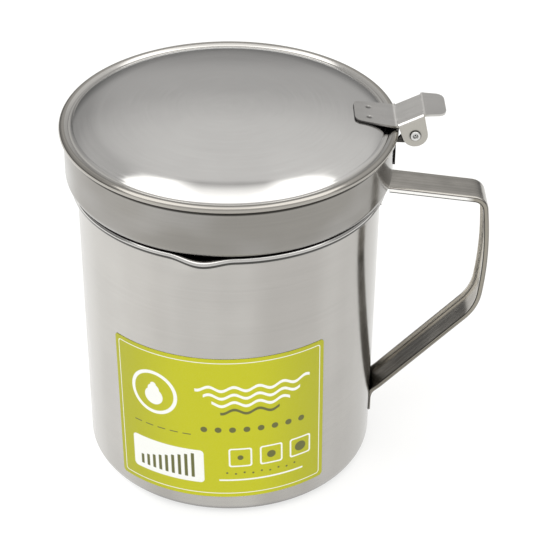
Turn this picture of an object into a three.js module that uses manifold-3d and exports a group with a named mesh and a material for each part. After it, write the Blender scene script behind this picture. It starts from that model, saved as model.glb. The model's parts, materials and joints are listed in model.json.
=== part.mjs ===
// A bacon grease container: a drawn steel pot with a pouring spout and a strap handle, a strainer cup
// that stands on the pot's rolled rim, and a domed lid hinged to the strainer cup's collar.
// Millimetres, +Z up. The pot's axis is Z, its base stands on z = 0 and its handle reaches along +X.
// Azimuths are counted from the front, which is -Y, towards +X.

import * as THREE from 'three';
import { mergeVertices } from 'three/addons/utils/BufferGeometryUtils.js';
import Module from 'manifold-3d';

const wasm = await Module();
wasm.setup();

// Fits that the whole part shares
const SEAT_GAP = 0.3; // between two pieces that rest on or are welded to each other
const CUT_OVERRUN = 2; // how far a cutting shape runs past what it cuts
const WELD_DISTANCE = 0.0001; // corners closer than this are one corner
const JOIN_INSET = 0.1; // faces of joined sheets lie this far apart, so that no two coincide

// Pot: a drawn cup with a slight taper and a rim rolled outwards
const POT_HEIGHT = 115.6; // base to the top of the rolled rim
const POT_RADIUS = 55; // outside, just under the rim
const POT_TAPER = 1; // the base is smaller by this much in radius
const POT_SHEET = 0.8;
const POT_CORNER_RADIUS = 4.6; // outside, between the wall and the base
const RIM_BEAD_RADIUS = 1.25;
const POT_COLUMNS = 72;

// Pouring spout: the rim pressed down and a little outwards, left of the front
const SPOUT_AZIMUTH = THREE.MathUtils.degToRad(-10);
const SPOUT_WIDTH = 16.5; // along the rim
const SPOUT_DROP = 2.2;
const SPOUT_BULGE = 1.1;
const SPOUT_THROAT = 11; // height of wall over which the pressing fades out
const SPOUT_COLUMN_PACKING = 0.6; // how closely the columns crowd towards the spout, 0 to 1

// Strainer cup: the visible collar, a seat on the rim and a perforated basket inside the pot
const COLLAR_OVERHANG = 4; // pot's wall to the collar's outside
const COLLAR_HEIGHT = 19; // seat to top edge
const COLLAR_CORNER_RADIUS = 3.9; // outside, between the collar and its seat
const STRAINER_SHEET = 0.7;
const BASKET_PLAY = 1.2; // between the basket and the pot's wall
const BASKET_DEPTH = 27; // below the seat
const BASKET_TAPER = 1.5; // the basket's foot is smaller by this much in radius
const BASKET_CORNER_RADIUS = 5;
const BASKET_THROAT_RADIUS = 1; // where the basket's wall turns out into the seat
const STRAINER_COLUMNS = 60;
const HOLE_RADIUS = 1.3;
const HOLE_MARGIN = 8.1; // flat floor left outside the last ring
const HOLE_RINGS = 4;
const HOLES_PER_RING = 6; // each ring has this many more than the one inside it
const HOLE_SIDES = 6;

// Lid: a shallow dome, a shoulder, a narrow ring and a rolled edge
const LID_OVERHANG = 1.6; // collar's outside to the outside of the rolled edge
const LID_SHEET = 0.8;
const LID_BEAD_RADIUS = 1.3;
const LID_CROWN_HEIGHT = 8.6; // lid's seat to the top of the dome
const LID_DOME_DROP = 3.5; // from the crown to where the dome turns into the shoulder
const LID_SHOULDER_REACH = 6; // how far the dome's slope runs on into the shoulder
const LID_SHOULDER_WIDTH = 10.2; // dome's edge to the shoulder's foot
const LID_SHOULDER_FALL = THREE.MathUtils.degToRad(40); // below level, at the foot
const LID_FOOT_REACH = 1.6; // how far that fall runs up into the shoulder
const LID_RING_WIDTH = 4.4; // outside of the rolled edge in to the shoulder's foot
const LID_RING_HEIGHT = 1.9; // lid's seat to the ring's upper face at the foot
const LID_RING_REACH = 1; // how far the ring runs level at each side
const LID_COLUMNS = 60;

// Hinge: a pin outside the collar, held by the bracket on the strainer cup
const HINGE_STANDOFF = 6.9; // collar's outside to the pin's axis
const HINGE_HEIGHT = 0.2; // lid's seat to the pin's axis
const PIN_RADIUS = 1.2;
const PIN_PLAY = 0.3; // in radius, in every ear
const PIN_HEAD_RADIUS = 1.8;
const PIN_HEAD_THICKNESS = 0.6;
const PIN_DIMPLE_RADIUS = 0.8;
const PIN_DIMPLE_DEPTH = 0.9;
const PIN_SIDES = 16;
const EAR_PLAY = 0.4; // between a lid ear and the bracket arm beside it

// Hinge bracket: a curved plate on the collar with two arms that hold the pin
const BRACKET_SHEET = 0.7;
const BRACKET_WIDTH = 14;
const BRACKET_PLATE_HEIGHT = 12.6;
const BRACKET_TOP_DROP = 0.8; // lid's seat down to the plate's top edge
const BRACKET_CORNER_RADIUS = 2.4;
const BRACKET_KNUCKLE_RADIUS = 3.7;

// Lid tab: one stamped strip, welded to the dome, folded up over the rim and out as a thumb rest
const TAB_SHEET = 0.8;
const TAB_WELD_WIDTH = 13.8; // at the welded end
const TAB_TIP_WIDTH = 14.6;
const TAB_GAP = 0.4; // under the tab, over the dome and over the rolled edge
const TAB_WELD_INSET = 1.4; // dome's edge in to the welded end
const TAB_VALLEY_INSET = 1.7; // outside of the rolled edge in to the fold over it
const TAB_RIDGE_REACH = 3.1; // pin's axis out to the fold above it
const TAB_RISE = 4.8; // from that first fold up to the second
const TAB_THUMB_LENGTH = 7.8; // from the second fold to the tip
const TAB_THUMB_DROP = 0.3;
const TAB_FOLD_RADIUS = 2.2;
const TAB_WELD_CORNER_RADIUS = 2.2;
const TAB_TIP_CORNER_RADIUS = 3;
const TAB_EAR_RADIUS = 4.5;

// Handle: a channel bent into a D, with a short plate at each end on the pot's wall
const HANDLE_WIDTH = 14;
const HANDLE_SHEET = 0.7;
const HANDLE_FLANGE = 2.7; // depth of the channel
const HANDLE_EDGE_RADIUS = 0.35;
const STRAP_DROP = 2.15; // rim top to the strap's upper face, at the pot's wall
const STRAP_SLOPE = THREE.MathUtils.degToRad(7.8); // below level, going outwards
const STRAP_FLANGE_STANDOFF = 3.5; // pot's wall to where the flanges begin
const GRIP_STANDOFF = 41.5; // pot's wall to the corner of the grip's two tangents
const GRIP_HEIGHT_SHARE = 0.73; // height of that corner, as a share of the pot's
const GRIP_LEAN = THREE.MathUtils.degToRad(6.3); // of each tangent, off upright
const GRIP_BOW_RADIUS = 149;
const DIAGONAL_SLOPE = THREE.MathUtils.degToRad(46);
const DIAGONAL_FOOT_HEIGHT = 18.6; // where its lower face comes to the pot's wall
const UPPER_BEND_RADIUS = 6;
const LOWER_BEND_RADIUS = 20;
const UPPER_ROOT_RADIUS = 1.8; // where the strap turns down along the wall
const LOWER_ROOT_RADIUS = 5; // where the diagonal turns down along the wall
const UPPER_PLATE_DROP = 11; // rim top to the upper plate's lower edge
const LOWER_PLATE_REACH = 7.6; // diagonal's foot down to the lower plate's lower edge
const PLATE_CORNER_RADIUS = 2;

// Label: a sticker on the front of the wall
const LABEL_WIDTH = 82; // along the wall
const LABEL_HEIGHT = 63.2;
const LABEL_BOTTOM = 8.2; // base to the label's lower edge
const LABEL_AZIMUTH = THREE.MathUtils.degToRad(-4.8);
const LABEL_TILT = THREE.MathUtils.degToRad(1.2);
const LABEL_CORNER_RADIUS = 0.8;
const LABEL_SHEET = 0.15;

// Facets of round stretches
const ARC_STEP = THREE.MathUtils.degToRad(15);
const WALL_CORNER_STEP = THREE.MathUtils.degToRad(22.5);
const BEAD_STEP = THREE.MathUtils.degToRad(45);
const CORNER_STEP = THREE.MathUtils.degToRad(30);
const SMALLEST_ARC_STEPS = 2;
const LONGEST_FACET = 5.5; // along a bend of the handle
const EDGE_STEPS = 2; // across a rounded edge
const DOME_STEPS = 3;
const SHOULDER_STEPS = 5;
const RING_STEPS = 3;
const WALL_PATCH_COLUMNS = 90;

const FULL_TURN = Math.PI * 2;
const HALF_TURN = Math.PI;
const QUARTER_TURN = Math.PI / 2;

// Heights and radii that follow from the driving dimensions
const POT_FOOT_RADIUS = POT_RADIUS - POT_TAPER;
const COLLAR_RADIUS = POT_RADIUS + COLLAR_OVERHANG;
const BASKET_RADIUS = POT_RADIUS - POT_SHEET - BASKET_PLAY;
const BASKET_FOOT_RADIUS = BASKET_RADIUS - BASKET_TAPER;
const HOLE_PITCH = (BASKET_FOOT_RADIUS - BASKET_CORNER_RADIUS - HOLE_MARGIN) / HOLE_RINGS;
const LID_RADIUS = COLLAR_RADIUS + LID_OVERHANG; // outside of the rolled edge
const LID_FOOT_RADIUS = LID_RADIUS - LID_RING_WIDTH;
const LID_DOME_RADIUS = LID_FOOT_RADIUS - LID_SHOULDER_WIDTH; // where the dome turns into the shoulder
const LID_CURVE_RADIUS = (LID_DOME_RADIUS ** 2 + LID_DOME_DROP ** 2) / (2 * LID_DOME_DROP);
const HINGE_REACH = COLLAR_RADIUS + HINGE_STANDOFF;
const GRIP_REACH = POT_RADIUS + GRIP_STANDOFF;
const GRIP_HEIGHT = POT_HEIGHT * GRIP_HEIGHT_SHARE;
const STRAP_FLANGE_START = POT_RADIUS + STRAP_FLANGE_STANDOFF;
const LOWER_PLATE_BOTTOM = DIAGONAL_FOOT_HEIGHT - LOWER_PLATE_REACH;
const SEAT_HEIGHT = POT_HEIGHT + SEAT_GAP; // underside of the strainer cup's seat
const LID_SEAT_HEIGHT = SEAT_HEIGHT + COLLAR_HEIGHT + SEAT_GAP; // underside of the lid's rolled edge
const PIN_HEIGHT = LID_SEAT_HEIGHT + HINGE_HEIGHT;
const EAR_INSIDE = BRACKET_WIDTH / 2 + EAR_PLAY; // half the distance between the lid tab's ears
const EAR_OUTSIDE = EAR_INSIDE + TAB_SHEET;

const point = (x, y) => new THREE.Vector2(x, y);

const potRadiusAt = (height) => THREE.MathUtils.lerp(POT_FOOT_RADIUS, POT_RADIUS, height / POT_HEIGHT);

// Solids

function solidOf(geometry) {
  const bare = geometry.clone();
  bare.deleteAttribute('normal');
  bare.deleteAttribute('uv');
  const merged = mergeVertices(bare, WELD_DISTANCE);
  const corners = merged.index.array;
  const triangles = [];
  for (let i = 0; i < corners.length; i += 3) {
    const [a, b, c] = [corners[i], corners[i + 1], corners[i + 2]];
    if (a !== b && b !== c && c !== a) triangles.push(a, b, c);
  }
  const vertProperties = new Float32Array(merged.attributes.position.array);
  const triVerts = new Uint32Array(triangles);
  return new wasm.Manifold(new wasm.Mesh({ numProp: 3, vertProperties, triVerts }));
}

function geometryOf(solid) {
  const mesh = solid.getMesh();
  const geometry = new THREE.BufferGeometry();
  geometry.setAttribute('position', new THREE.BufferAttribute(mesh.vertProperties, 3));
  geometry.setIndex(new THREE.BufferAttribute(mesh.triVerts, 1));
  geometry.computeVertexNormals();
  return geometry;
}

// A body of revolution about Z. The outline runs counterclockwise in (radius, height).
function turned(outline, columns) {
  const geometry = new THREE.LatheGeometry(outline, columns);
  geometry.rotateX(QUARTER_TURN);
  return geometry;
}

// A shape drawn in (x, z), extruded along Y and centred on y = 0.
function crosswise(outline, width, edgeRadius = 0) {
  const geometry = new THREE.ExtrudeGeometry(new THREE.Shape(outline), {
    depth: width - 2 * edgeRadius,
    bevelEnabled: edgeRadius > 0,
    bevelThickness: edgeRadius,
    bevelSize: edgeRadius,
    bevelOffset: -edgeRadius,
    bevelSegments: EDGE_STEPS,
  });
  geometry.rotateX(QUARTER_TURN);
  geometry.translate(0, width / 2 - edgeRadius, 0);
  return geometry;
}

// Outlines

function arc(centre, radius, from, to, step = ARC_STEP) {
  const steps = Math.max(SMALLEST_ARC_STEPS, Math.ceil(Math.abs(to - from) / step));
  return Array.from({ length: steps + 1 }, (_, i) => {
    const angle = THREE.MathUtils.lerp(from, to, i / steps);
    return point(centre.x + radius * Math.cos(angle), centre.y + radius * Math.sin(angle));
  });
}

// The line moved to its left by a distance. A point on the axis stays on it.
function offset(line, distance) {
  return line.map((here, i) => {
    const before = line[Math.max(i - 1, 0)];
    const after = line[Math.min(i + 1, line.length - 1)];
    const arriving = here.clone().sub(before).normalize();
    const leaving = after.clone().sub(here).normalize();
    const along = arriving.clone().add(leaving).normalize();
    const left = point(-along.y, along.x);
    const edge = arriving.lengthSq() > 0 ? arriving : leaving;
    const stretch = 1 / Math.max(edge.dot(along), 1 / 2);
    if (here.x === 0) return point(0, here.y + distance * Math.sign(left.y));
    return here.clone().addScaledVector(left, distance * stretch);
  });
}

// A strip between two offsets of the same line, as a closed counterclockwise outline.
function strip(line, near, far) {
  return [...offset(line, near), ...offset(line, far).reverse()];
}

// A line through the corners with each inner corner rounded by its own radius.
function rounded(corners, radii) {
  const line = [corners[0]];
  for (let i = 1; i < corners.length - 1; i++) {
    const arriving = corners[i].clone().sub(corners[i - 1]).normalize();
    const leaving = corners[i + 1].clone().sub(corners[i]).normalize();
    const turn = Math.atan2(arriving.cross(leaving), arriving.dot(leaving));
    const radius = radii[i - 1];
    const side = Math.sign(turn);
    const start = corners[i].clone().addScaledVector(arriving, -radius * Math.tan(Math.abs(turn) / 2));
    const centre = start.clone().addScaledVector(point(-arriving.y, arriving.x), side * radius);
    const from = Math.atan2(arriving.y, arriving.x) - side * QUARTER_TURN;
    line.push(...arc(centre, radius, from, from + turn, Math.min(ARC_STEP, LONGEST_FACET / radius)));
  }
  line.push(corners[corners.length - 1]);
  return line;
}

// Where a line through p at angle a meets a line through q at angle b.
function crossing(p, a, q, b) {
  const along = point(Math.cos(a), Math.sin(a));
  const other = point(Math.cos(b), Math.sin(b));
  const reach = q.clone().sub(p).cross(other) / along.cross(other);
  return p.clone().addScaledVector(along, reach);
}

function roundedRectangle(width, height, radius) {
  const [x, y] = [width / 2 - radius, height / 2 - radius];
  return [
    ...arc(point(x, y), radius, 0, QUARTER_TURN, CORNER_STEP),
    ...arc(point(-x, y), radius, QUARTER_TURN, HALF_TURN, CORNER_STEP),
    ...arc(point(-x, -y), radius, HALF_TURN, HALF_TURN + QUARTER_TURN, CORNER_STEP),
    ...arc(point(x, -y), radius, -QUARTER_TURN, 0, CORNER_STEP),
  ];
}

// The angle, seen from a circle's centre, of the point where a tangent from outside touches it.
function touchAngle(from, centre, radius, side) {
  const away = from.clone().sub(centre);
  return Math.atan2(away.y, away.x) + side * Math.acos(radius / away.length());
}

// A piece of sheet that lies on a round wall. The outline is drawn flat, as (along the wall, up),
// about the height given, and the wall's radius at its lower and upper ends may differ.
function wallPatch({ outline, height, azimuth, radiusAt, sheet }) {
  const tall = Math.max(...outline.map((p) => Math.abs(p.y)));
  const [low, high] = [height - tall - CUT_OVERRUN, height + tall + CUT_OVERRUN];
  const shell = turned([
    point(radiusAt(low) + sheet, low),
    point(radiusAt(high) + sheet, high),
    point(radiusAt(high), high),
    point(radiusAt(low), low),
    point(radiusAt(low) + sheet, low),
  ], WALL_PATCH_COLUMNS);
  const radius = radiusAt(height);
  const flat = outline.map((p) => point(radius * Math.sin(p.x / radius), height + p.y));
  const cutter = new THREE.ExtrudeGeometry(new THREE.Shape(flat), {
    depth: radius + sheet + CUT_OVERRUN,
    bevelEnabled: false,
  });
  cutter.rotateX(QUARTER_TURN);
  cutter.rotateZ(azimuth);
  return solidOf(shell).intersect(solidOf(cutter));
}

function unionOf(solids) {
  return solids.reduce((whole, solid) => whole.add(solid));
}

// Pot

// The wall's outline in (radius, height), from the base round the rolled rim and back down inside.
function potOutline() {
  const inside = POT_RADIUS - POT_SHEET;
  const footInside = POT_FOOT_RADIUS - POT_SHEET;
  const innerRadius = POT_CORNER_RADIUS - POT_SHEET;
  const bead = point(inside + RIM_BEAD_RADIUS, POT_HEIGHT - RIM_BEAD_RADIUS);
  const beadStart = -Math.acos((POT_SHEET - RIM_BEAD_RADIUS) / RIM_BEAD_RADIUS);
  const outerCorner = point(POT_FOOT_RADIUS - POT_CORNER_RADIUS, POT_CORNER_RADIUS);
  const innerCorner = point(footInside - innerRadius, POT_CORNER_RADIUS);
  const throat = POT_HEIGHT - SPOUT_THROAT;
  const throatShares = [0, 1 / 3, 2 / 3];
  const throatHeights = throatShares.map((share) => throat + share * (bead.y - RIM_BEAD_RADIUS - throat));
  return [
    point(0, 0),
    ...arc(outerCorner, POT_CORNER_RADIUS, -QUARTER_TURN, 0, WALL_CORNER_STEP),
    ...throatHeights.map((height) => point(potRadiusAt(height), height)),
    ...arc(bead, RIM_BEAD_RADIUS, beadStart, HALF_TURN, BEAD_STEP),
    ...throatHeights.map((height) => point(potRadiusAt(height) - POT_SHEET, height)).reverse(),
    ...arc(innerCorner, innerRadius, 0, -QUARTER_TURN, WALL_CORNER_STEP),
    point(0, POT_SHEET),
  ];
}

// Crowds the columns towards the spout, then presses the rim down and out across its width.
function pressSpout(geometry) {
  const corners = geometry.attributes.position;
  for (let i = 0; i < corners.count; i++) {
    const [x, y, z] = [corners.getX(i), corners.getY(i), corners.getZ(i)];
    const radius = Math.hypot(x, y);
    const turn = Math.atan2(x, -y) - SPOUT_AZIMUTH;
    const even = turn - FULL_TURN * Math.round(turn / FULL_TURN);
    const crowded = even - SPOUT_COLUMN_PACKING * Math.sin(even);
    const across = Math.min(Math.abs(crowded) * POT_RADIUS / (SPOUT_WIDTH / 2), 1);
    const up = THREE.MathUtils.smoothstep(z, POT_HEIGHT - SPOUT_THROAT, POT_HEIGHT - 2 * RIM_BEAD_RADIUS);
    const press = up * (1 + Math.cos(HALF_TURN * across)) / 2;
    const azimuth = SPOUT_AZIMUTH + crowded;
    const pressed = radius + SPOUT_BULGE * press;
    corners.setXYZ(i, pressed * Math.sin(azimuth), -pressed * Math.cos(azimuth), z - SPOUT_DROP * press);
  }
  return geometry;
}

function potBody() {
  return geometryOf(solidOf(pressSpout(turned(potOutline(), POT_COLUMNS))));
}

// Strainer cup, with its seat at z = 0

function strainerOutline() {
  const face = [
    point(0, -BASKET_DEPTH),
    ...arc(point(BASKET_FOOT_RADIUS - BASKET_CORNER_RADIUS, BASKET_CORNER_RADIUS - BASKET_DEPTH),
      BASKET_CORNER_RADIUS, -QUARTER_TURN, 0, CORNER_STEP),
    ...arc(point(BASKET_RADIUS + BASKET_THROAT_RADIUS, -BASKET_THROAT_RADIUS),
      BASKET_THROAT_RADIUS, HALF_TURN, QUARTER_TURN, CORNER_STEP),
    ...arc(point(COLLAR_RADIUS - COLLAR_CORNER_RADIUS, COLLAR_CORNER_RADIUS),
      COLLAR_CORNER_RADIUS, -QUARTER_TURN, 0, WALL_CORNER_STEP),
    point(COLLAR_RADIUS, COLLAR_HEIGHT),
  ];
  return strip(face, 0, STRAINER_SHEET);
}

// One hole at the centre and rings around it, each ring with as many as its length takes.
function holePlaces() {
  const places = [point(0, 0)];
  for (let ring = 1; ring <= HOLE_RINGS; ring++) {
    const count = ring * HOLES_PER_RING;
    for (let i = 0; i < count; i++) {
      const angle = FULL_TURN * i / count;
      places.push(point(ring * HOLE_PITCH * Math.cos(angle), ring * HOLE_PITCH * Math.sin(angle)));
    }
  }
  return places;
}

function strainerCup() {
  const cup = solidOf(turned(strainerOutline(), STRAINER_COLUMNS));
  const depth = STRAINER_SHEET + 2 * CUT_OVERRUN;
  const holes = holePlaces().map((place) => {
    const hole = new THREE.CylinderGeometry(HOLE_RADIUS, HOLE_RADIUS, depth, HOLE_SIDES);
    hole.rotateX(QUARTER_TURN);
    hole.translate(place.x, place.y, STRAINER_SHEET / 2 - BASKET_DEPTH);
    return solidOf(hole);
  });
  return geometryOf(cup.subtract(unionOf(holes)));
}

// Lid, with its seat at z = 0

function domeHeightAt(radius) {
  return LID_CROWN_HEIGHT - LID_CURVE_RADIUS + Math.sqrt(LID_CURVE_RADIUS ** 2 - radius ** 2);
}

// The upper face of the dome, from the crown out to the dome's edge.
function domeArc() {
  const centre = point(0, LID_CROWN_HEIGHT - LID_CURVE_RADIUS);
  const reach = Math.asin(LID_DOME_RADIUS / LID_CURVE_RADIUS);
  const line = arc(centre, LID_CURVE_RADIUS, QUARTER_TURN, QUARTER_TURN - reach, reach / DOME_STEPS);
  line[0].x = 0;
  return { line, slope: -reach };
}

// The sheet's upper face from the crown, over the shoulder and the ring, round the rolled edge, and
// back along the lower face.
function lidOutline() {
  const { line: dome, slope } = domeArc();
  const edge = dome[dome.length - 1];
  const foot = point(LID_FOOT_RADIUS, LID_RING_HEIGHT);
  const fall = point(-Math.cos(LID_SHOULDER_FALL), Math.sin(LID_SHOULDER_FALL));
  const bead = point(LID_RADIUS - LID_BEAD_RADIUS, LID_BEAD_RADIUS);
  const beadTop = point(bead.x, bead.y + LID_BEAD_RADIUS);
  const level = point(LID_RING_REACH, 0);
  const shoulder = new THREE.CubicBezierCurve(
    edge,
    edge.clone().add(point(Math.cos(slope), Math.sin(slope)).multiplyScalar(LID_SHOULDER_REACH)),
    foot.clone().addScaledVector(fall, LID_FOOT_REACH),
    foot,
  );
  const ring = new THREE.CubicBezierCurve(
    foot,
    foot.clone().add(level),
    beadTop.clone().sub(level),
    beadTop,
  );
  const upper = [
    ...dome,
    ...shoulder.getPoints(SHOULDER_STEPS).slice(1),
    ...ring.getPoints(RING_STEPS).slice(1),
  ];
  const lower = offset(upper, -LID_SHEET);
  const beadEnd = HALF_TURN - Math.asin((LID_BEAD_RADIUS - LID_SHEET) / LID_BEAD_RADIUS);
  const edgeRoll = arc(bead, LID_BEAD_RADIUS, QUARTER_TURN, beadEnd - FULL_TURN, BEAD_STEP);
  return [...upper.slice(0, -1), ...edgeRoll, ...lower.slice(0, -2).reverse()].reverse();
}

function lid() {
  return geometryOf(solidOf(turned(lidOutline(), LID_COLUMNS)));
}

// Lid tab, drawn about the pin's axis

// The upper face seen from the side: welded end, fold over the rolled edge, fold above the pin, tip.
function tabLine() {
  const weldReach = LID_DOME_RADIUS - TAB_WELD_INSET;
  const weld = point(weldReach, domeHeightAt(weldReach) + TAB_GAP + TAB_SHEET);
  const valley = point(LID_RADIUS - TAB_VALLEY_INSET, 2 * LID_BEAD_RADIUS + TAB_GAP + TAB_SHEET);
  const ridge = point(HINGE_REACH + TAB_RIDGE_REACH, valley.y + TAB_RISE);
  const tip = point(ridge.x + TAB_THUMB_LENGTH, ridge.y - TAB_THUMB_DROP);
  return [weld, valley, ridge, tip].map((corner) => corner.sub(point(HINGE_REACH, HINGE_HEIGHT)));
}

// The strip seen from above: widest between the folds, where the ears turn down.
function tabPlan() {
  const [inner, valley, ridge, tip] = tabLine();
  const [weld, thumb] = [TAB_WELD_CORNER_RADIUS, TAB_TIP_CORNER_RADIUS];
  const side = [
    ...arc(point(inner.x + weld, TAB_WELD_WIDTH / 2 - weld), weld, HALF_TURN, QUARTER_TURN, CORNER_STEP),
    point(valley.x, EAR_OUTSIDE),
    point(ridge.x, EAR_OUTSIDE),
    ...arc(point(tip.x - thumb, TAB_TIP_WIDTH / 2 - thumb), thumb, QUARTER_TURN, 0, CORNER_STEP),
  ];
  return [...side, ...side.map((p) => point(p.x, -p.y)).reverse()];
}

// An ear seen from the side: a round end about the pin, with straight sides up to the two folds.
function earOutline() {
  const [, valley, ridge] = tabLine();
  const centre = point(0, 0);
  const left = point(valley.x + TAB_SHEET, valley.y - TAB_SHEET / 2);
  const right = point(ridge.x - TAB_SHEET, ridge.y - TAB_SHEET);
  const from = touchAngle(left, centre, TAB_EAR_RADIUS, 1);
  const to = touchAngle(right, centre, TAB_EAR_RADIUS, -1) + FULL_TURN;
  return [left, ...arc(centre, TAB_EAR_RADIUS, from, to), right];
}

function pinHole(radius) {
  const width = 2 * (EAR_OUTSIDE + CUT_OVERRUN);
  return solidOf(new THREE.CylinderGeometry(radius, radius, width, PIN_SIDES));
}

function lidTab() {
  const line = rounded(tabLine(), [TAB_FOLD_RADIUS, TAB_FOLD_RADIUS]);
  const sheet = solidOf(crosswise(strip(line, -TAB_SHEET, 0), 2 * EAR_OUTSIDE));
  const tall = TAB_RISE + 2 * TAB_EAR_RADIUS + CUT_OVERRUN;
  const plan = new THREE.ExtrudeGeometry(new THREE.Shape(tabPlan().reverse()), {
    depth: 2 * tall,
    bevelEnabled: false,
  });
  plan.translate(0, 0, -tall);
  const ears = [-1, 1].map((side) => {
    const ear = crosswise(earOutline(), TAB_SHEET);
    ear.translate(0, side * (EAR_INSIDE + TAB_SHEET / 2), 0);
    return solidOf(ear);
  });
  const tab = unionOf([sheet.intersect(solidOf(plan)), ...ears]);
  return geometryOf(tab.subtract(pinHole(PIN_RADIUS + PIN_PLAY)));
}

// Hinge bracket

// An arm seen from the side, drawn about the pin's axis.
function bracketArm() {
  const knuckle = BRACKET_KNUCKLE_RADIUS;
  const root = COLLAR_RADIUS + SEAT_GAP - HINGE_REACH;
  const top = -HINGE_HEIGHT - BRACKET_TOP_DROP;
  return [
    point(root, -knuckle),
    ...arc(point(0, 0), knuckle, -QUARTER_TURN, HALF_TURN),
    point(-knuckle, top),
    point(root, top),
  ];
}

function hingeBracket() {
  const plateTop = LID_SEAT_HEIGHT - BRACKET_TOP_DROP;
  const plate = wallPatch({
    outline: roundedRectangle(BRACKET_WIDTH, BRACKET_PLATE_HEIGHT, BRACKET_CORNER_RADIUS),
    height: plateTop - BRACKET_PLATE_HEIGHT / 2,
    azimuth: QUARTER_TURN,
    radiusAt: () => COLLAR_RADIUS + SEAT_GAP,
    sheet: BRACKET_SHEET,
  });
  const arms = [-1, 1].map((side) => {
    const arm = crosswise(bracketArm(), BRACKET_SHEET);
    arm.translate(HINGE_REACH, side * (BRACKET_WIDTH - BRACKET_SHEET) / 2, PIN_HEIGHT);
    return solidOf(arm);
  });
  const collar = new THREE.CylinderGeometry(COLLAR_RADIUS + SEAT_GAP, COLLAR_RADIUS + SEAT_GAP,
    2 * COLLAR_HEIGHT, WALL_PATCH_COLUMNS);
  collar.rotateX(QUARTER_TURN);
  collar.translate(0, 0, LID_SEAT_HEIGHT);
  const hole = new THREE.CylinderGeometry(PIN_RADIUS + PIN_PLAY, PIN_RADIUS + PIN_PLAY,
    BRACKET_WIDTH + CUT_OVERRUN, PIN_SIDES);
  hole.translate(HINGE_REACH, 0, PIN_HEIGHT);
  const bracket = unionOf([plate, ...arms]).subtract(solidOf(collar)).subtract(solidOf(hole));
  return geometryOf(bracket);
}

// Hinge pin: a rivet along Y with a head outside each ear and a dimple in each head
function hingePin() {
  const shoulder = EAR_OUTSIDE + SEAT_GAP;
  const end = shoulder + PIN_HEAD_THICKNESS;
  const half = [
    point(PIN_RADIUS, shoulder),
    point(PIN_HEAD_RADIUS, shoulder),
    point(PIN_HEAD_RADIUS, end - PIN_HEAD_THICKNESS / 2),
    point(PIN_RADIUS, end),
    point(PIN_DIMPLE_RADIUS, end),
    point(0, end - PIN_DIMPLE_DEPTH),
  ];
  const mirrored = half.map((p) => point(p.x, -p.y)).reverse();
  return geometryOf(solidOf(new THREE.LatheGeometry([...mirrored, ...half], PIN_SIDES)));
}

// Handle

// Corners of the handle's outer face in (x, z), from the strap's root to the diagonal's foot.
function handleCorners() {
  const level = POT_HEIGHT - STRAP_DROP;
  const strapRoot = point(potRadiusAt(level), level);
  const grip = point(GRIP_REACH, GRIP_HEIGHT);
  const foot = point(potRadiusAt(DIAGONAL_FOOT_HEIGHT), DIAGONAL_FOOT_HEIGHT);
  const upper = crossing(strapRoot, -STRAP_SLOPE, grip, QUARTER_TURN + GRIP_LEAN);
  const lower = crossing(foot, DIAGONAL_SLOPE, grip, QUARTER_TURN - GRIP_LEAN);
  return { strapRoot, upper, grip, lower, foot };
}

// The bends from the foot up. The bow takes no more of the grip than the two bends leave it.
function handleRadii() {
  const { upper, grip, lower } = handleCorners();
  const upperTurn = QUARTER_TURN - STRAP_SLOPE - GRIP_LEAN;
  const lowerTurn = QUARTER_TURN - DIAGONAL_SLOPE - GRIP_LEAN;
  const above = upper.distanceTo(grip) - UPPER_BEND_RADIUS * Math.tan(upperTurn / 2);
  const below = lower.distanceTo(grip) - LOWER_BEND_RADIUS * Math.tan(lowerTurn / 2);
  const longestBow = (Math.min(above, below) - JOIN_INSET) / Math.tan(GRIP_LEAN);
  return [LOWER_BEND_RADIUS, Math.min(GRIP_BOW_RADIUS, longestBow), UPPER_BEND_RADIUS];
}

// The flanged channel between its two roots.
function handleChannel() {
  const { strapRoot, upper, grip, lower, foot } = handleCorners();
  const start = crossing(strapRoot, -STRAP_SLOPE, point(STRAP_FLANGE_START, 0), QUARTER_TURN);
  const strapInwards = point(-Math.cos(STRAP_SLOPE), Math.sin(STRAP_SLOPE)).multiplyScalar(CUT_OVERRUN);
  const diagonalInwards = point(-Math.cos(DIAGONAL_SLOPE), -Math.sin(DIAGONAL_SLOPE))
    .multiplyScalar(CUT_OVERRUN);
  const end = foot.clone().add(diagonalInwards);
  const radii = handleRadii();
  const line = rounded([end, lower, grip, upper, start], radii);
  const channel = solidOf(crosswise(strip(line, 0, HANDLE_FLANGE), HANDLE_WIDTH, HANDLE_EDGE_RADIUS));
  const hollowStart = start.clone().add(strapInwards);
  const hollowEnd = end.clone().add(diagonalInwards);
  const longer = rounded([hollowEnd, lower, grip, upper, hollowStart], radii);
  const hollow = strip(longer, HANDLE_SHEET, HANDLE_FLANGE + CUT_OVERRUN);
  return channel.subtract(solidOf(crosswise(hollow, HANDLE_WIDTH - 2 * HANDLE_SHEET)));
}

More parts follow.
